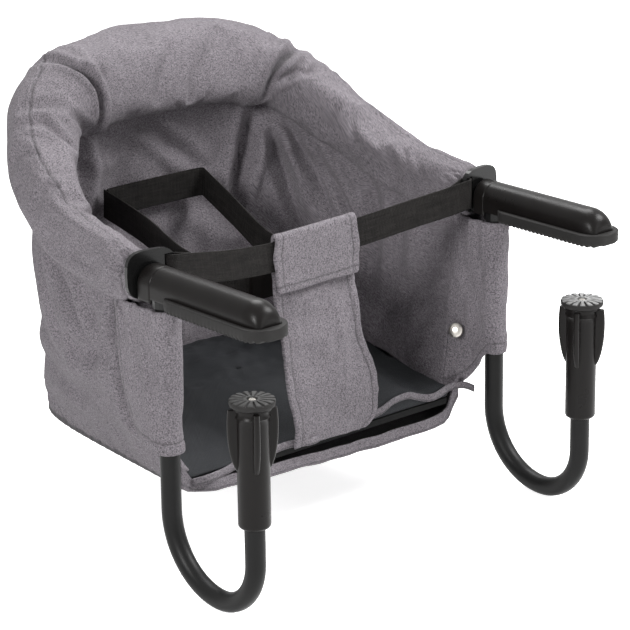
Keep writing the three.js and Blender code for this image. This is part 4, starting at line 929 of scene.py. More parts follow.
# Seat.
seatLook = {
    "cloth": 1.6, "board": 5, "pad": 20, "gap": 0.5, "layer": 0.3, "sideGap": 3.5, "lap": 1, "paintedTopShade": 0.85,
    "points": 150, "frontPoints": 60, "edgeFrom": 0.99, "edgeRise": 30,
    "clothRings": (0.04, 0.97, 20), "rounded": 0.97,  # the bottom's area as a share of its box
    # inset and height of the pad's rings: bottom, round side, shoulder; then the rise of its crown
    "padRings": [(5, 0.0), (2.2, 0.4), (0.6, 3), (0, 7), (0.5, 12), (2, 16), (4.6, 18.8), (8, 20.1)],
    "crown": 4, "crownRings": (0.95, 0.012, 60), "underRings": (0.05, 0.95, 12),
    "waves": [(0.9, 55, 0), (0.35, 18, 1)], "wavesFrom": (14, 20),
    "pressReach": 95, "pressLimits": (0.15, 1.2),
    "band": 9, "bandHalf": 150.5, "bandUnder": 1.2, "bandEnds": 9, "bandEndsFrom": (137, 148),
    "bandLean": 1.2, "bandWaves": [(0.8, 40, 0)], "hem": 6.5, "hemCut": 10.2, "hemWave": 2.5,
    "hemFrom": -140, "hemTo": 166,
    "hemOut": 1.6, "hemWaves": [(1.5, 50, 0)], "stripLine": (0.7, 0.55), "stripLineAt": 0.2,
    # places across the front and the heights there: top of the hem, sag of the cloth under the board
    "hemLine": [(-140, -158), (-127, -157), (-107, -157.5), (-88, -155), (-44, -153), (0, -154), (40, -151.5),
                (60, -149), (77, -143), (90, -141.5), (104, -147), (116, -150.5), (128, -149), (140, -147),
                (151, -147), (158, -149), (167, -154)],
    "sagLine": [(-151, -4), (-144, 0.5), (-137, 2.5), (-117, 6), (-86, 8.5), (-39, 11), (26, 14), (82, 15),
                (122, 14.5), (133, 13), (139, 9), (144, 0.5), (151, -8)],
    "sagReach": 150,
}
seatTop = seatLook["cloth"] + seatLook["board"] + seatLook["pad"] + 2 * seatLook["gap"]
seatMiddle = np.array([0, (bodyLook["seatFront"] + bodyLook["depth"]) / 2, 0])


def frontSag(x, y):  # how far the bottom cloth hangs down towards its front edge
    line = np.array(seatLook["sagLine"])
    back = 1 - ease(y, bodyLook["seatFront"], bodyLook["seatFront"] + seatLook["sagReach"])
    return np.interp(x, line[:, 0], line[:, 1]) * back


def hemTop(x):  # height of the hem's top edge, a smooth line through its points
    line = smoothPath(seatLook["hemLine"], 240)
    return np.interp(x, line[:, 0], line[:, 1])


def seatOutline(sideGap):  # the bottom's outline moved in by the wall and a gap, closed straight at the front
    start = shareAtDepth(bodyFloor, bodyLook["seatFront"])
    point, out, _ = onCurve(bodyFloor, np.linspace(start, 1 - start, seatLook["points"]))
    point = point + out * (-bodyLook["wall"] - sideGap)
    point[:, 1] = np.maximum(point[:, 1], bodyLook["seatFront"] + seatLook["gap"])
    front = np.linspace(point[-1], point[0], seatLook["frontPoints"])[1:-1]
    return np.vstack([point, front])


# Seat pad: rings from the bottom up the round side to a crown that rises as 1 - share squared; towards the
# front every height is pressed down by the ratio of the hem's height to the pad's.
def makeSeatPad():
    look = seatLook
    front = bodyLook["seatFront"]
    padFrom = look["cloth"] + look["layer"] + look["board"] + look["gap"]
    outline = seatOutline(look["sideGap"])
    away = unitRows(outline - seatMiddle)
    topInset, topHeight = look["padRings"][-1]
    rows = [(inset, height, 1) for inset, height in look["padRings"]]
    rows += [(topInset, topHeight + look["crown"] * (1 - share ** 2), share)
             for share in np.linspace(*look["crownRings"])]
    rings = []
    for inset, height, share in rows:
        flat = seatMiddle + (outline - away * inset - seatMiddle) * share
        flat[:, 1] = np.maximum(flat[:, 1], front + look["gap"])
        wave = ripple(flat[:, 0], flat[:, 1], look["waves"], 61) * ease(np.array(height), *look["wavesFrom"])
        base = floorHeight(flat[:, 1]) + padFrom
        pressed = np.clip((hemTop(flat[:, 0]) - base) / look["pad"], *look["pressLimits"])
        pressed = mix(pressed, 1, ease(flat[:, 1], front, front + look["pressReach"]))
        flat[:, 2] = base + (height + wave) * pressed
        rings.append(flat)
    under = []
    for share in np.linspace(*look["underRings"]):
        flat = seatMiddle + (rings[0] - seatMiddle) * share
        flat[:, 2] = floorHeight(flat[:, 1]) + padFrom
        under.append(flat)
    pad = gridPiece("seatPad", np.stack(under + rings) * mm, finishes["nylon"], caps=True)
    settle(pad, "nylon", "seat_cover")


# Bottom cloth: rings from the middle out along its lower face and back along the upper, with a round edge;
# the upper face gets painted shade.
def makeFloorCloth():
    look = seatLook
    outline = seatOutline(-look["lap"])
    wall = look["cloth"]

    def ring(share, height):
        flat = seatMiddle + (outline - seatMiddle) * share
        flat[:, 2] = floorHeight(flat[:, 1]) + height - frontSag(flat[:, 0], flat[:, 1])
        return flat
    shares = np.concatenate([np.linspace(*look["clothRings"]), [look["edgeFrom"], 0.996, 1]])
    rounded = wall * look["edgeRise"] * np.maximum(shares - look["edgeFrom"], 0)
    under = [ring(share, fall) for share, fall in zip(shares, rounded)]
    over = [ring(share, wall - fall) for share, fall in zip(shares[:-1], rounded[:-1])][::-1]
    inside = np.zeros((len(under + over), len(outline)))
    inside[len(under):] = look["paintedTopShade"]  # painted shade: the upper face is darkened as if it lay in shade
    cloth = gridPiece("floorCloth", np.stack(under + over) * mm, finishes["melange"], caps=True,
                      fields={"seam": inside})
    settle(cloth, "melange", "bottom_panel")


def makeFrontStrip(name, start, end, lowAt, highAt, forward, replaced):  # a band on edge across the front
    wall = bodyLook["wall"]
    xs = mix(start, end, edgeStops(240, end - start, wall))[:, None]
    share = edgeStops(18, seatLook["hem"], wall)[None, :]
    x, share = np.broadcast_arrays(xs, share)
    y = bodyLook["seatFront"] - wall / 2 - forward(x, share)
    points = np.stack([x, y, mix(lowAt(x), highAt(x), share)], -1)
    high = float((highAt(x) - lowAt(x)).mean())
    seam = {"seam": stitched((share - seatLook["stripLineAt"]) * high, seatLook["stripLine"])}
    strip = clothPiece(name, points * mm, wall * mm, finishes["melange"], seam)
    length = float(runAlong(points, 0)[-1].mean())
    settle(strip, "melange", replaced)


def bandFoot(x):  # height of the sagging bottom at its front edge
    return floorHeight(bodyLook["seatFront"]) - frontSag(x, bodyLook["seatFront"])


def bandTop(x):  # the band's upper edge, which rises to the side panels at both ends
    rise = seatLook["bandEnds"] * ease(np.abs(x), *seatLook["bandEndsFrom"])
    return bandFoot(x) + seatLook["band"] + rise


def bandForward(x, share):  # how far the band leans out at its foot
    ripples = ripple(x, seatLook["band"] * share, seatLook["bandWaves"], 64)
    return ripples + seatLook["bandLean"] * (1 - share) ** 2


def hemForward(x, share):  # the hem's waves in front of the band
    return seatLook["hemOut"] + ripple(x, seatLook["band"] * share, seatLook["hemWaves"], 65)


makeSeatPad()
makeFloorCloth()
makeFrontStrip("frontBand", -seatLook["bandHalf"], seatLook["bandHalf"],
               lambda x: bandFoot(x) - seatLook["bandUnder"], bandTop, bandForward, "front_band")
makeFrontStrip("seatHem", seatLook["hemFrom"], seatLook["hemTo"],
               lambda x: hemTop(x) - seatLook["hem"], hemTop, hemForward, "seat_hem")
print("seat made")

# Tube sleeves.
sleeveLook = {
    "wall": 2, "bottom": 121, "rows": 120, "columns": 150, "legPoints": 44, "radius": 8, "gap": 0.5,
    # how far the outer and the inner leg go past the wall's edge, and how they get there
    "lap": {1: 6.0, -1: 1.2}, "stand": 3.2, "standFrom": 0.75, "inward": 3, "fall": 34, "fallPower": 1.6,
    "hemAt": 10, "hemDepth": 0.6, "hem": 0.8, "hemWidth": 9,
    "hemLine": (0.8, 0.55), "edgeAt": 5, "edgeLine": (0.7, 0.45), "edgeShade": 0.7, "edgeReach": (0.8, 2.4),
    # ripples (height, wave length, step of the seed, stretch), gathers at the top, and the relief's limits
    "waves": [(1.1, 36, 0, (1, 1.8)), (0.4, 14, 1, (1, 2))], "gathers": [(2.6, 13, 3, (1, 4))],
    "gatherReach": 17, "span": 3.2, "drop": 1.4, "least": -0.3,
    # folds: depth, width and the places round the sleeve from the panel's side and down it
    "folds": [(2.6, 4, [(22, -4), (26, 30), (32, 66), (34, 104)]), (1.8, 5, [(44, 14), (48, 40), (44, 70)]),
              (1.8, 5, [(70, 8), (64, 30), (68, 60)]), (1.8, 6, [(92, 20), (88, 60), (96, 100)])],
}


def wallEdge(wall, z, offset):  # the wall's front edge at a height
    top, low = (wallPoint(wall, 1, end)[..., 2] for end in (0, 1))
    return wallPoint(wall, np.ones_like(z), (z - top) / (low - top), offset)


# Sleeve: outer leg back to the panel, arch round the tube, inner leg back to the lining and falling to it.
def sleeveGrid(z, depth, count):
    look = sleeveLook
    radius = look["radius"] + look["gap"] + look["wall"] - depth
    share = np.linspace(0, 1, count)[None, :]
    turn = np.linspace(0, np.pi, count // 2 + 2)[1:-1][None, :]
    top = z[0]
    tall = top - z[:, None]
    falls = look["fall"] * (1 - (1 - share) ** look["fallPower"]) / (top + look["bottom"])

    def leg(wall, side, offset, extra):
        height = top - tall * (1 + extra)
        stand = look["stand"] * max(side, 0) * ease(share, look["standFrom"], 1)
        edge = wallEdge(wall, height, offset + stand)
        x = mix(side * radius, edge[..., 0] - railShape["halfWidth"], share ** look["inward"])
        y = share * (edge[..., 1] + look["lap"][side])
        return np.stack([x, y, height], -1)
    arch = np.stack(np.broadcast_arrays(radius * np.cos(turn), -radius * np.sin(turn), z[:, None]), -1)
    return np.concatenate([leg(bodyWall, 1, -depth, 0 * share)[:, ::-1], arch,
                           leg(liningWall, -1, depth - bodyLook["wall"], falls)], 1)


# The sleeve's rows get even spacing with finer stops at the edges; folds, ripples and gathers push it
# outwards, squeezed to a span so that the cloth never comes closer to the tube than it can.
def makeSleeve(side, name, replaced, seed):
    look = sleeveLook
    underRim = float(rimUnderside(np.array(bodyLook["front"]), bodyLook["topOut"]))
    top = railShape["low"] - underRim - look["gap"]
    tall = top + look["bottom"]
    z = top - edgeStops(look["rows"], tall, look["wall"]) * tall
    points = sleeveGrid(z, look["wall"] / 2, look["legPoints"])
    points = np.stack([evenly(row, look["columns"]) for row in points])
    stops = edgeStops(look["columns"], float(runAlong(points, 1)[:, -1].mean()), look["wall"])
    across = np.linspace(0, 1, look["columns"])
    points = np.stack([np.stack([np.interp(stops, across, row[:, k]) for k in range(3)], 1)
                       for row in points])
    t, s = runAlong(points, 0), runAlong(points, 1)
    wide, high = s[:, -1:], t[-1:]
    fade = ease(s, 0, 6) * ease(wide - s, 0, 6)
    gathers = ripple(s, t, look["gathers"], seed) * bell(t, look["gatherReach"])
    relief = (ripple(s, t, look["waves"], seed) + gathers + foldField(s, t, look["folds"])) * fade
    hemGap = high - look["hemAt"] - t
    relief = look["span"] * ease(relief, -look["span"], look["span"]) - look["drop"]
    relief = (np.maximum(relief, look["least"]) - look["hemDepth"] * bell(hemGap, 1)) * fade
    normal = gridNormals(points)
    frontColumn = points[..., 1].mean(0).argmin()
    outward = -np.sign(normal[:, frontColumn, 1].mean())
    points = points + normal * (outward * relief)[..., None]
    points = toSide(points, side)
    seam = np.maximum(stitched(hemGap, look["hemLine"]), stitched(s - look["edgeAt"], look["edgeLine"]))
    # painted shade: a dark band along the sleeve's back edge, where it laps over the panel
    seam = np.maximum(seam, look["edgeShade"] * (1 - ease(s, *look["edgeReach"])))
    sleeve = clothPiece(name, points * mm, look["wall"] * mm, finishes["melange"], {"seam": seam},
                        hem=look["hem"] * mm, hemWidth=look["hemWidth"] * mm, hemSides=(1, 1, 0, 0))
    settle(sleeve, "melange", replaced)


makeSleeve(1, "sleeveRight", "tube_sleeve_right", 71)
makeSleeve(-1, "sleeveLeft", "tube_sleeve_left", 81)
print("sleeves made")

# Belt, crotch panel and straps.
strapLook = {"width": 25, "wall": 1.5, "gap": 0.5, "sag": 15.5, "slack": 1.3, "bow": 17, "forward": 2,
             "tail": 16, "tilt": 1.5, "tiltFade": 60}
flangeLook = {"thick": 4, "place": 16.5, "lift": 5.5, "turn": -0.13, "slotInner": 12.6, "slotWidth": 4}
crotchLook = {
    "halfWidth": 46, "wall": 3, "flap": 48, "bottom": 160, "hem": 7, "hemDepth": 0.5, "hemThick": 0.7,
    "waves": [(0.7, 50, 0), (0.25, 16, 1)], "flapWaves": [(0.6, 30, 3)], "flapStand": 0.7,
    "hemLine": (0.8, 0.55), "flapHemAt": 6, "hemLineWidth": 1.1, "tiltFrom": 0.45,
    # millimetres from the flap's edge over which its shape, the folds and the flap's own waves come and go,
    # and where the edge stands off
    "flapFrom": (-8, 2), "foldsFrom": (4, 16), "flapWavesTo": (6, 18), "standAt": (4, 9),
    # heights and the panel's left and right edge there, then the same for the flap in front of the belt
    "edges": [(-162, -36, 36), (-158, -36, 45), (-154, -36, 50.5), (-150, -36, 54), (-144, -36, 56),
              (-130, -37.5, 57), (-116, -40, 54.5), (-93, -42, 48), (-73, -42, 43.5), (-58, -42.5, 42),
              (-45, -43, 42), (-21, -43.5, 42), (18, -44, 41)],
    "flapEdges": [(-32, -38, 34), (-30.5, -41, 39), (-27, -43, 42), (-22, -44, 43.5), (-10, -45, 44),
                  (3, -46, 43), (18, -44, 41)],
    # folds: depth, width and the places across the panel and down its run from the flap's edge
    "folds": [(1.6, 5, [(-40, 62), (-10, 66), (30, 61), (42, 55)]), (1.2, 6, [(-34, 76), (0, 82), (36, 76)]),
              (1.8, 9, [(-42, 120), (-10, 128), (20, 122)]), (1.6, 10, [(-36, 160), (0, 168), (44, 156)]),
              (1.4, 8, [(28, 96), (34, 130), (38, 170)])],
}
barOut = -(flangeLook["slotInner"] + 1.5 * flangeLook["slotWidth"])
barX = railShape["halfWidth"] + barOut
barY = flangeLook["place"] + flangeLook["thick"] / 2 - barOut * math.tan(flangeLook["turn"])
beltHeight = railShape["low"] + flangeLook["lift"]
beltFlat = crotchLook["halfWidth"] + 1


def beltSlack(x):  # 1 behind the crotch panel, a power curve down to 0 at the flanges' bars
    return 1 - (np.maximum(np.abs(x) - beltFlat, 0) / (barX - beltFlat)) ** strapLook["slack"]


def beltFront(x):  # how far back the belt runs
    start = barY - flangeLook["thick"] / 2 - strapLook["wall"] - strapLook["forward"]
    return start + strapLook["bow"] * beltSlack(x)


def beltTilt(x):  # one side of the belt hangs a little higher, as one wave of a sine
    wave = np.sin(np.pi * np.clip(x / barX, -1, 1))
    return strapLook["tilt"] * wave * ease(barX - np.abs(x), 0, strapLook["tiltFade"])


# Strap on edge: its middle line, and a width across it that stands as upright as the line allows.
def makeStrap(name, path, replaced, body="chair"):
    look = strapLook
    width = look["width"]
    run = runAlong(path, 0)
    length = run[-1]
    stops = edgeStops(max(int(length / 1.5), 24), length, look["wall"]) * length
    path = np.stack([np.interp(stops, run, path[:, k]) for k in range(3)], 1)
    across = edgeStops(22, width, look["wall"]) * width - width / 2
    tangent = unitRows(np.gradient(path, axis=0))
    upright = np.array([0, 0, 1.0])
    lift = unitRows(upright - tangent * (upright * tangent).sum(1, keepdims=True))
    points = path[:, None] + lift[:, None] * across[None, :, None]
    strap = clothPiece(name, points * mm, look["wall"] * mm, finishes["webbing"])
    settle(strap, "webbing", replaced, body=body)


# Belt: level behind the crotch panel, out to both flanges, round their bars and back along itself.
def makeBelt():
    look = strapLook
    half, thick = flangeLook["thick"] / 2, look["wall"] / 2
    clear = half + thick + look["gap"]
    slotX = barX + flangeLook["slotWidth"] / 2 + thick + look["gap"]
    tailX = barX - look["tail"]
    xs = np.linspace(0, barX - 1, 90)
    front = np.stack([xs, beltFront(xs)], 1)
    turnRound = [(slotX - thick, barY - clear), (slotX, barY - half), (slotX, barY + half),
                 (slotX - thick, barY + clear), (barX, barY + clear + thick / 2),
                 (tailX, beltFront(tailX) + look["wall"] + look["gap"])]
    turnRound = smoothPath(np.vstack([front[-1:], turnRound]), 60)[1:]
    oneSide = np.vstack([front, turnRound])

    def placed(side):
        x = side * oneSide[:, 0]
        z = beltHeight - look["sag"] * np.maximum(beltSlack(x), 0) + beltTilt(x)
        return np.stack([x, oneSide[:, 1], z], 1)
    makeStrap("frontBelt", np.vstack([placed(-1)[1:][::-1], placed(1)]), "front_belt")


def crotchLine(top, lap):  # depth and height along the panel: foot, rise to the belt, over it, and the flap
    look = crotchLook
    beltMiddle = float(beltFront(0))
    behind = top - strapLook["width"]
    footY = bodyLook["seatFront"] - bodyLook["wall"] - strapLook["gap"] - look["wall"] / 2
    clear = floorHeight(bodyLook["seatFront"]) + seatTop + 2 * seatLook["hemWave"] + strapLook["gap"]
    share = np.linspace(0, 1, 110)
    turn = np.linspace(0, np.pi, 16)

    def straight(y, start, end, count):
        return np.stack([np.full(count, y), np.linspace(start, end, count)], 1)
    return np.vstack([
        straight(footY, -look["bottom"], clear, 30)[:-1],
        np.stack([mix(footY, beltMiddle + lap, (1 - np.cos(np.pi * share)) / 2),
                  mix(clear, behind, share)], 1),
        straight(beltMiddle + lap, behind, top - lap, 20)[1:-1],
        np.stack([beltMiddle + lap * np.cos(turn), top - lap + lap * np.sin(turn)], 1),
        straight(beltMiddle - lap, top - lap, top - look["flap"], 30)[1:]])


# Crotch panel: its line swept between the left and right edges, with folds, a flap over the belt and hems.
def makeCrotchPanel():
    look = crotchLook
    flap = look["flap"]
    top = beltHeight - strapLook["sag"] + strapLook["width"] / 2 + 1 + look["wall"]
    line = crotchLine(top, strapLook["wall"] / 2 + strapLook["gap"] + look["wall"] / 2)
    run = runAlong(line, 0)
    length = run[-1]
    stops = edgeStops(230, length, look["wall"]) * length
    y, z = (np.interp(stops, run, line[:, k])[:, None] for k in (0, 1))
    across = edgeStops(80, 2 * look["halfWidth"], look["wall"])[None, :]
    edges, flapEdges = np.array(look["edges"]), np.array(look["flapEdges"])
    onFlap = ease(stops, *(length - flap + step for step in look["flapFrom"]))[:, None]
    left, right = (mix(np.interp(z, edges[:, 0], edges[:, k]),
                       np.interp(z, flapEdges[:, 0], flapEdges[:, k]), onFlap) for k in (1, 2))
    x, y, z = np.broadcast_arrays(mix(left, right, across), y, z)
    high = np.clip((z + look["bottom"]) / (top + look["bottom"]), 0, 1)
    tilt = beltTilt(x) * ease(high, look["tiltFrom"], 1)
    down = length - stops[:, None] + 0 * x
    relief = foldField(x, down, look["folds"]) + ripple(x, down, look["waves"], 91)
    relief = relief * ease(down, *(flap + step for step in look["foldsFrom"]))
    onTop = ease(-down, *(step - flap for step in look["flapWavesTo"]))
    relief = relief + ripple(x, down, look["flapWaves"], 91) * onTop
    standAt, standWidth = look["standAt"]
    stand = look["flapStand"] * bell(down - standAt, standWidth) * onFlap
    side = np.minimum(across, 1 - across) * (right - left) - look["hem"]
    sunk = look["hemDepth"] * bell(side, look["hemLineWidth"])
    points = np.stack([x, y - relief - stand + sunk, z + tilt], -1)
    sewn = np.maximum(stitched(side, look["hemLine"]) * ease(down, 0, 4),
                      stitched(down - look["flapHemAt"], look["hemLine"]))
    panel = clothPiece("crotchPanel", points * mm, look["wall"] * mm, finishes["melange"], {"seam": sewn},
                       hem=look["hemThick"] * mm, hemWidth=look["hem"] * mm, hemSides=(0, 1, 1, 1))
    settle(panel, "melange", "crotch_panel")


makeBelt()
makeCrotchPanel()

harnessLook = {
    "left": -60, "right": 46, "height": 8, "fall": 35, "buckleFront": 56, "buckleThick": 9, "wall": 1.6,
    "middle": -32, "socket": 30, "hold": 4.6, "turnIn": [(3.4, 4.5), (3.2, 1.6)],
    "leftShares": [(1, 1, 1), (1.3, 0.53, 0.86), (1.38, 0.2, 0.43), (1.04, 0.03, 0.06), (0.72, 0, 0)],
    "rightShares": [(1, 1, 1), (0.85, 0.69, 0.55), (0.7, 0.41, 0.15), (0.55, 0.15, 0.02), (0.4, 0, 0)],
}


def liningFace(x, z):  # the lining's inner face behind a place
    u = np.linspace(0.2, 0.8, 600)
    top, low = (wallPoint(liningWall, u, end)[..., 2] for end in (0, 1))
    face = wallPoint(liningWall, u, (z - top) / (low - top), -bodyLook["wall"])
    return np.interp(x, face[:, 0], face[:, 1])


# Waist strap: along the lining, turned forwards at both ends, and two halves that sweep round to the buckle.
def makeHarness():
    look = harnessLook
    middleX, halfX = (look["left"] + look["right"]) / 2, (look["right"] - look["left"]) / 2
    xs = np.linspace(look["left"] + look["hold"], look["right"] - look["hold"], 60)
    back = np.stack([xs, liningFace(xs, look["height"]) - look["hold"], np.full(60, look["height"])], 1)

    def turnedIn(end, side):
        corners = [end + np.array([side * reach, -deep, 0]) for reach, deep in look["turnIn"]]
        return smoothPath(np.vstack([corners, end]), 12)[:-1]
    back = np.vstack([turnedIn(back[0], -1), back, turnedIn(back[-1], 1)[::-1]])
    makeStrap("waistStrapBack", back, "waist_strap_back")
    strapY = look["buckleFront"] + look["buckleThick"] - look["wall"] - strapLook["wall"]
    backY = float(liningFace(middleX, look["height"])) - look["hold"]

    def route(side, shares, stop):
        corners = [(middleX + side * halfX * across, mix(strapY, backY, deep),
                    look["height"] - look["fall"] * (1 - high)) for across, deep, high in shares]
        return np.vstack([smoothPath(corners, 120), [(stop, strapY, look["height"] - look["fall"])]])
    leftRoute = route(-1, look["leftShares"], look["middle"] - 2)
    rightRoute = route(1, look["rightShares"], look["middle"] + look["socket"] - 2.5)
    makeStrap("waistStrapLeft", leftRoute, "waist_strap_left", body="buckle_half")
    makeStrap("waistStrapRight", rightRoute, "waist_strap_right")


makeHarness()
print("straps made")

# Hook tubes, knobs and feet.
hookLook = {"drop": 168, "rear": 58, "front": 43, "top": 4, "end": 107, "radius": 8, "bore": 6.5, "lip": 0.5,
            "sides": 48, "stations": 240}


def hookPath():  # depth and height: straight down, a wide quarter round, a tighter one, and up again
    look = hookLook
    rear, front = look["rear"], look["front"]
    floor = -look["drop"] - rear
    wide, tight = np.linspace(0, np.pi / 2, 50)[1:, None], np.linspace(np.pi / 2, np.pi, 50)[1:, None]
    line = np.vstack([
        [(0, -look["top"]), (0, -look["drop"])],
        np.hstack([-rear * (1 - np.cos(wide)), -look["drop"] - rear * np.sin(wide)]),
        np.hstack([-rear + front * np.cos(tight), floor + front - front * np.sin(tight)]),
        [(-rear - front, -look["end"])]])
    return np.column_stack([np.zeros(len(line)), line])


# Hook: round rings along the path, outside and inside the tube, with a slight chamfer at both ends.
def makeHook(side, name, replaced, body):
    look = hookLook
    path = toSide(evenly(hookPath(), look["stations"]), side)
    outer, lip, inner = (sweptRings(path, radius, look["sides"])
                         for radius in (look["radius"], look["radius"] - look["lip"], look["bore"]))
    points = np.concatenate([lip[:1], outer, lip[-1:], inner[::-1]])
    hook = gridPiece(name, points * mm, finishes["steel"], closedU=True, hardAngle=math.radians(50))
    settle(hook, "steel", replaced, body=body)


knobLook = {
    "gap": 51, "footThick": 5.5, "clear": 0.3, "radius": 12.5, "bore": 8.8, "chamfer": 0.5, "length": 96,
    "head": 12, "spindle": 4.3, "neckRadius": 14.5, "neckHeight": 9, "neckRound": 0.8, "lip": 2,
    "waistOut": 5.4, "waistDown": 1.6, "waistRadius": 7.4, "waistTurn": (168, 212), "edge": 3,
    "wings": 4, "turn": 0.5, "wingReach": 19.5, "wingFrom": 2, "wingLength": 49, "wingThick": 5,
    "wingTop": 0.3, "wingTaper": 0.14, "wingSunk": 1.6, "wingRoot": 3.2,
    "footRadius": 17.5, "footBore": 2.9, "ribs": 16, "groove": 1.2, "grooveFrom": (0.5, 0.95), "boss": 6,
    "rivet": 4.3, "recess": 2.8, "shoulder": 0.35, "rimDip": 0.3,
    # radius under the foot's full one and height under its top, round the side
    "footSide": [(0.15, 1.3), (0, 2.0), (0.1, 3.6), (0.5, 5.0), (1.1, 5.5)],
    "wornFrom": (-0.9, -0.2), "wornWaves": [(0.15, 6, 0)], "worn": {"right": 0.9, "left": 0.12},
}
hookReach = hookLook["rear"] + hookLook["front"]
knobTop = -knobLook["gap"] - knobLook["footThick"] - knobLook["clear"]


def arcPoints(centre, radius, start, end, count):  # points of an arc between two angles in degrees
    turn = np.radians(np.linspace(start, end, count))
    return [(centre[0] + radius * math.cos(a), centre[1] + radius * math.sin(a)) for a in turn]


# Knob: a turned skirt, and four fins, each a lens in height and a rounded blade in section.
def makeKnob(side, name, replaced, body):
    look = knobLook
    low = knobTop - look["length"]
    neck = look["neckRadius"]
    spindle, bore, skirt, corner = look["spindle"], look["bore"], look["radius"], look["neckRound"]
    profile = [(spindle, knobTop), (neck - corner, knobTop)]
    profile += arcPoints((neck - corner, knobTop - corner), corner, 90, 0, 4)
    waist = neck + look["waistOut"], knobTop - look["lip"] - look["waistDown"]
    profile += [(neck, knobTop - look["lip"])] + arcPoints(waist, look["waistRadius"], *look["waistTurn"], 6)
    profile += [(skirt, knobTop - look["neckHeight"])]
    profile += [(skirt, z) for z in np.linspace(knobTop - look["neckHeight"] - 4, low + look["edge"] + 1, 12)]
    profile += arcPoints((skirt - look["edge"], low + look["edge"]), look["edge"], 0, -90, 8)
    profile += [(bore + look["chamfer"], low), (bore, low + look["chamfer"]), (bore, knobTop - look["head"])]
    profile += [(spindle, knobTop - look["head"]), (spindle, knobTop - 1)]
    centre = np.array([side * railShape["halfWidth"], -hookReach, 0])
    core = gridPiece(name + "Core", turned(profile, 96, centre) * mm, finishes["moulding"], closedU=True,
                     hardAngle=math.radians(40))
    # a fin's reach follows the root of a sine down its height; its section runs out from the root along one
    # side, round the edge and back
    share = np.concatenate([[0, 0.004, 0.015], np.linspace(0.03, 0.97, 50), [0.985, 0.996, 1]])[:, None]
    start = skirt - look["wingSunk"]
    wave = np.sqrt(np.clip(np.sin(np.pi * mix(look["wingTop"], 1, share)), 0, 1))
    reach = start + (look["wingReach"] - start) * wave
    half = look["wingThick"] / 2 * (1 - look["wingTaper"] + look["wingTaper"] * np.sin(np.pi * share))
    root = skirt - look["wingRoot"] + 0 * share
    tip = np.maximum(reach - half, root + 0.2)
    around = np.radians(np.linspace(90, -90, 15))[None, :]
    out = np.hstack([root, tip + (reach - tip) * np.cos(around), root])
    wide = np.hstack([half, half * np.sin(around), -half])
    high = knobTop - look["wingFrom"] - look["wingLength"] * share + 0 * out
    fins = []
    for k in range(look["wings"]):
        angle = look["turn"] + 2 * math.pi * k / look["wings"]
        cos, sin = math.cos(angle), math.sin(angle)
        rings = np.stack([side * (out * cos - wide * sin), out * sin + wide * cos, high], -1) + centre
        fins.append(gridPiece(name + "Fin", rings * mm, finishes["moulding"], caps=True,
                              hardAngle=math.radians(50)))
    settle(joined(name, core, *fins), "moulding", replaced, body=body)


# Foot: rings from the boss outwards; the top sinks in radial grooves between rounded ribs.
def makeFoot(side, name, replaced, body, worn):
    look = knobLook
    rim, boss, rivet = look["footRadius"], look["boss"], look["rivet"]
    turn = np.linspace(0, 2 * np.pi, 384, endpoint=False)[None, :]
    groove = ease(0.5 - 0.5 * np.cos(look["ribs"] * turn), *look["grooveFrom"])
    radii = np.concatenate([[rivet, rivet + 0.4, boss - 0.3, boss + 0.3],
                            np.linspace(boss + 0.8, rim - 1.2, 16), [rim - 0.5]])[:, None]
    fall = look["groove"] * groove * ease(radii, boss, boss + 1)
    fall = fall + look["shoulder"] * ease(radii, rim - 3, rim)
    sideRings = [(rim - inset, depth) for inset, depth in look["footSide"]]
    bore, recess = look["footBore"], look["recess"]
    under = [(bore, look["footThick"]), (bore, recess), (rivet, recess)]
    below = np.array(sideRings + under)
    depth = below[:, 1:] + 0 * turn
    depth[0] += look["rimDip"] * groove[0]  # the grooves run out over the rim
    radii, depth = np.vstack([radii, below[:, :1]]), np.vstack([fall, depth])
    points = np.stack([radii * np.cos(turn) * side, radii * np.sin(turn), -look["gap"] - depth], -1)
    points = points + np.array([side * railShape["halfWidth"], -hookReach, 0])
    rubbed = 0.9 + ripple(points[..., 0], points[..., 1], look["wornWaves"], 96)
    high = ease(-depth, *look["wornFrom"]) * rubbed
    foot = gridPiece(name, points * mm, finishes["rubber"], closedU=True, hardAngle=math.radians(45),
                     fields={"worn": np.clip(high * worn, 0, 1)})
    settle(foot, "rubber", replaced, body=body)


for side, word in ((1, "right"), (-1, "left")):
    label = word.capitalize()
    makeHook(side, "hook" + label, "hook_tube_" + word, "hook_" + word)
    makeKnob(side, "knob" + label, "knob_" + word, "screw_" + word)
    makeFoot(side, "foot" + label, "foot_" + word, "clamp_" + word, knobLook["worn"][word])
print("hooks and clamps made")

# Arm covers and toothed pads.
armLook = {
    "half": 14.5, "hood": 2.3, "hoodFloor": 0.6, "length": 124, "nose": 17, "tipHalf": 9, "tipHigh": 10,
    "reach": 105, "floor": 4.3, "bore": 8.3, "clear": 0.3, "corner": 0.5, "sides": 96,
    "padHalf": 20, "padLip": 10, "padBase": 4, "tipRadius": 16, "padBack": 13.5, "pitch": 4.5, "tooth": 1.6,
    "padEdge": 2.2, "lipRound": 1.0, "lipWall": 1.2, "toothFrom": (0.15, 0.85), "endDrop": (0.8, 0.6),
    "trayEdge": (0.5, 0.4),
}


def coverSection(y):  # half width and top of the arch: even, then falling like a quarter round at the nose
    share = np.clip((-y - (armLook["length"] - armLook["nose"])) / armLook["nose"], 0, 1)
    fall = 1 - np.sqrt(1 - share ** 2)
    top = railShape["low"] + armLook["half"]
    return (armLook["half"] - (armLook["half"] - armLook["tipHalf"]) * fall,
            top - (top - armLook["floor"] - armLook["tipHigh"]) * fall)


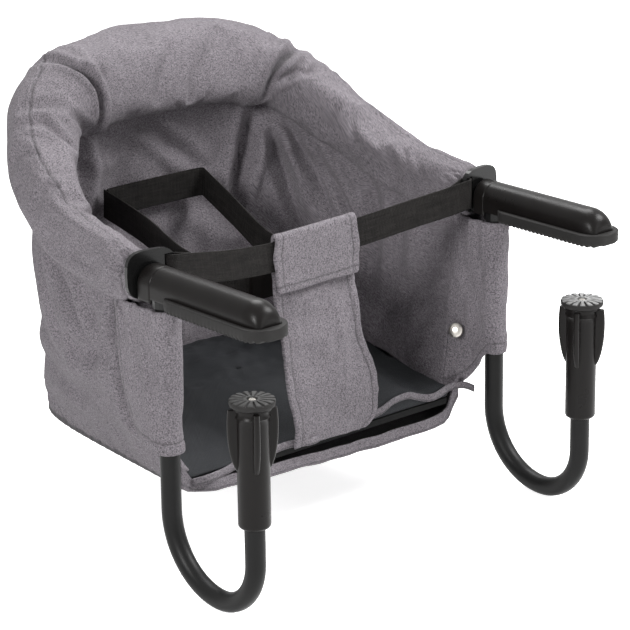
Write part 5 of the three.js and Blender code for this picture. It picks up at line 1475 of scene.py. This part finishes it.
# Arm cover: an arch over straight sides; the nose falls like a quarter round. Inside runs the tube's bore.
def makeCover(side, name, replaced):
    look = armLook
    sides, floor, corner, low = look["sides"], look["floor"], look["corner"], railShape["low"]
    straight = look["length"] - look["nose"]
    ys = np.concatenate([[-look["clear"], -3 * look["clear"]], np.linspace(-3, -straight, 40)[:-1],
                         -straight - look["nose"] * np.sin(np.linspace(0, math.pi / 2, 26))])
    arch = np.linspace(0, math.pi, 60)
    rings = []
    for y in ys:
        half, top = coverSection(y)
        spring = max(top - half, floor + look["clear"])
        wall = np.linspace(spring, floor + corner, 11)
        outline = np.vstack([
            np.stack([half * np.cos(arch), spring + (top - spring) * np.sin(arch)], 1),
            np.stack([np.full(10, -half), wall[1:]], 1),
            [(-half + corner, floor), (0, floor), (half - corner, floor)],
            np.stack([np.full(10, half), wall[:0:-1]], 1)])
        outline = evenly(np.vstack([outline, outline[:1]]), sides + 1)[:-1]
        rings.append(np.stack([outline[:, 0], np.full(sides, y), outline[:, 1]], 1))
    rings.append(mix(rings[-1], rings[-1].mean(0), 0.08) + np.array([0, -0.05, 0]))
    outer = np.array(rings)
    around = np.arctan2(outer[0][:, 2] - low, outer[0][:, 0])[None, :]
    depths = np.linspace(-look["reach"] - look["clear"], -look["clear"], 20)[:, None] + 0 * around
    bore = np.stack([look["bore"] * np.cos(around) + 0 * depths, depths,
                     low + look["bore"] * np.sin(around) + 0 * depths], -1)
    points = toSide(np.concatenate([bore, outer]), side)
    front = gridPiece(name + "Front", points * mm, finishes["moulding"], caps=True,
                      hardAngle=math.radians(38))
    # hood: the same arch going on over the joint's neck, ending along the flange
    half = look["half"] - look["hood"] / 2
    arch = np.linspace(0, math.pi, 49)
    legs = np.linspace(look["hoodFloor"] - low, 0, 9)[:-1]
    outline = np.vstack([np.stack([np.full(8, half), legs], 1),
                         np.stack([half * np.cos(arch), half * np.sin(arch)], 1),
                         np.stack([np.full(8, -half), legs[::-1]], 1)])
    back = (flangeLook["place"] - flangeLook["thick"] / 2 - look["clear"]
            - outline[:, :1] * math.tan(flangeLook["turn"]))
    share = np.linspace(0, 1, 14)[None, :]
    middle = np.stack(np.broadcast_arrays(side * (railShape["halfWidth"] + outline[:, :1]),
                                          mix(-look["clear"], back, share), low + outline[:, 1:]), -1)
    hood = clothPiece(name + "Hood", middle * mm, look["hood"] * mm, finishes["moulding"])
    settle(joined(name, front, hood), "moulding", replaced)


# Pad: a tray section swept back to front; the plan ends in two round corners and the sole is cut in teeth.
def makePad(side, name, replaced):
    look = armLook
    wide, lip, radius, edge, lipRound = (look[key] for key in ("padHalf", "padLip", "tipRadius", "padEdge",
                                                               "lipRound"))
    front, back = -look["length"] - (wide - look["half"]) - look["clear"], -look["padBack"]
    teeth = round((back - front) / look["pitch"])
    ys = [np.linspace(back, front, teeth * 12 + 1), front + np.array([0.05, 0.2, 0.5, 0.9]),
          back - np.array([0.1, 0.4, 0.9, 1.6])]  # twelve for each tooth, and closer ones at both ends
    ys = np.unique(np.concatenate(ys))[::-1]
    corner = np.radians(np.linspace(0, 90, 6))
    rings = []
    for y in ys:
        near = min(y - front, back - y)
        half = wide - radius + math.sqrt(max(radius ** 2 - max(radius - near, 0) ** 2, 0))
        phase = (back - y) / (back - front) * teeth % 1
        tooth = look["tooth"] * float(ease(np.array(1 - abs(phase * 2 - 1)), *look["toothFrom"]))
        hollow = y - front > wide - look["half"] - 0.001  # the cover sits in the tray from here on
        inner = min(float(coverSection(min(y, 0))[0]) + look["clear"], half - look["lipWall"])
        shrink = 1 - min(near / edge, 1)
        drop = edge * (1 - math.sqrt(max(1 - shrink ** 2, 0)))
        low, high = tooth + drop * look["endDrop"][0], lip - drop * look["endDrop"][1]
        floor = min(look["padBase"] if hollow else lip, high)
        right = [(half - edge + edge * math.sin(a), low + edge - edge * math.cos(a)) for a in corner]
        right += arcPoints((half - lipRound, high - lipRound), lipRound, 0, 90, 6)
        aside, down = look["trayEdge"]
        right += [(inner + aside, high), (inner, high - down if hollow else high), (inner, floor)]
        left = [(-x, z) for x, z in right[::-1]]
        bottom = [(x, low) for x in np.linspace(-(half - edge), half - edge, 12)[1:-1]]
        ring = np.array(right + left + bottom)
        rings.append(np.stack([ring[:, 0], np.full(len(ring), y), ring[:, 1]], 1))
    points = toSide(np.array(rings), side)
    pad = gridPiece(name, points * mm, finishes["rubber"], caps=True, hardAngle=math.radians(35))
    settle(pad, "rubber", replaced)


for side, word in ((1, "right"), (-1, "left")):
    label = word.capitalize()
    makeCover(side, "armCover" + label, "arm_cover_" + word)
    makePad(side, "tablePad" + label, "table_pad_" + word)
print("arms made")

# Floor, light and camera, in metres.
stageLook = {
    "floor": -0.2345, "size": 8, "paper": 0.79, "world": 0.05,
    # each lamp's place, what it points at, its size and its power
    "lamps": {"key": ((1.3, -0.9, 1.7), (0, 0.05, -0.05), 1.1, 74),
              "back": ((0.7, 0.9, 1.7), (0, 0.05, -0.05), 1.1, 38),
              "left": ((-1.85, -0.45, 0.85), (0, 0, -0.05), 0.6, 34),
              "front": ((0.4, -2.1, 0.55), (0, 0, -0.1), 1.3, 10)},
    # the camera that the photograph's lines gave: lens and sensor in millimetres, its place, right and up
    "lens": 154.286, "sensor": 36, "clip": (0.1, 30), "camera": (-1.35956, -1.54379, 0.62073),
    "right": (0.7538225, -0.6569502, -0.0129647), "up": (0.21286, 0.2254859, 0.9507086),
}


def seenRays(tree):  # 1 for what the camera sees directly, in a reflection or through something clear
    light = place(tree, "ShaderNodeLightPath")
    direct = maths(tree, "MAXIMUM", light.outputs["Is Camera Ray"], light.outputs["Is Glossy Ray"])
    return maths(tree, "MAXIMUM", direct, light.outputs["Is Transmission Ray"])


def makeFloor():  # white paper that shows shadows, and glows only where it is seen
    bpy.ops.mesh.primitive_plane_add(size=stageLook["size"], location=(0, 0, stageLook["floor"]))
    floor = bpy.context.object
    floor.name = "floor"
    material, tree, body = startMaterial("paperFloor", {
        "Roughness": 1.0, "Specular IOR Level": 0.0, "Base Color": grey(0.85), "Emission Color": grey(1.0)})
    strength = maths(tree, "MULTIPLY", seenRays(tree), stageLook["paper"])
    tree.links.new(strength, body.inputs["Emission Strength"])
    floor.data.materials.append(material)


def makeWorld():  # white where it is seen, and nearly dark as a light
    world = bpy.data.worlds.new("studio")
    world.use_nodes = True
    tree = world.node_tree
    back = tree.nodes["Background"]
    strength = maths(tree, "MAXIMUM", seenRays(tree), stageLook["world"])
    tree.links.new(strength, back.inputs["Strength"])
    back.inputs["Color"].default_value = grey(1.0)
    scene.world = world


def addLamp(name, spot, target, size, power):  # a square lamp turned towards its target
    lamp = bpy.data.lights.new(name, "AREA")
    lamp.shape, lamp.size, lamp.energy = "SQUARE", size, power
    obj = bpy.data.objects.new(name, lamp)
    obj.location = spot
    obj.rotation_euler = (Vector(target) - Vector(spot)).to_track_quat("-Z", "Y").to_euler()
    scene.collection.objects.link(obj)


def makeCamera():  # its right and up made square to each other
    look = stageLook
    data = bpy.data.cameras.new("camera")
    data.lens, data.sensor_width = look["lens"], look["sensor"]
    data.clip_start, data.clip_end = look["clip"]
    camera = bpy.data.objects.new("camera", data)
    scene.collection.objects.link(camera)
    right = Vector(look["right"]).normalized()
    backward = right.cross(Vector(look["up"])).normalized()
    turn = Matrix((right, backward.cross(right), backward)).transposed().to_4x4()
    camera.matrix_world = Matrix.Translation(look["camera"]) @ turn
    scene.camera = camera


makeFloor()
makeWorld()
for lampName, values in stageLook["lamps"].items():
    addLamp(lampName, *values)
makeCamera()
scene.view_settings.view_transform = "Standard"
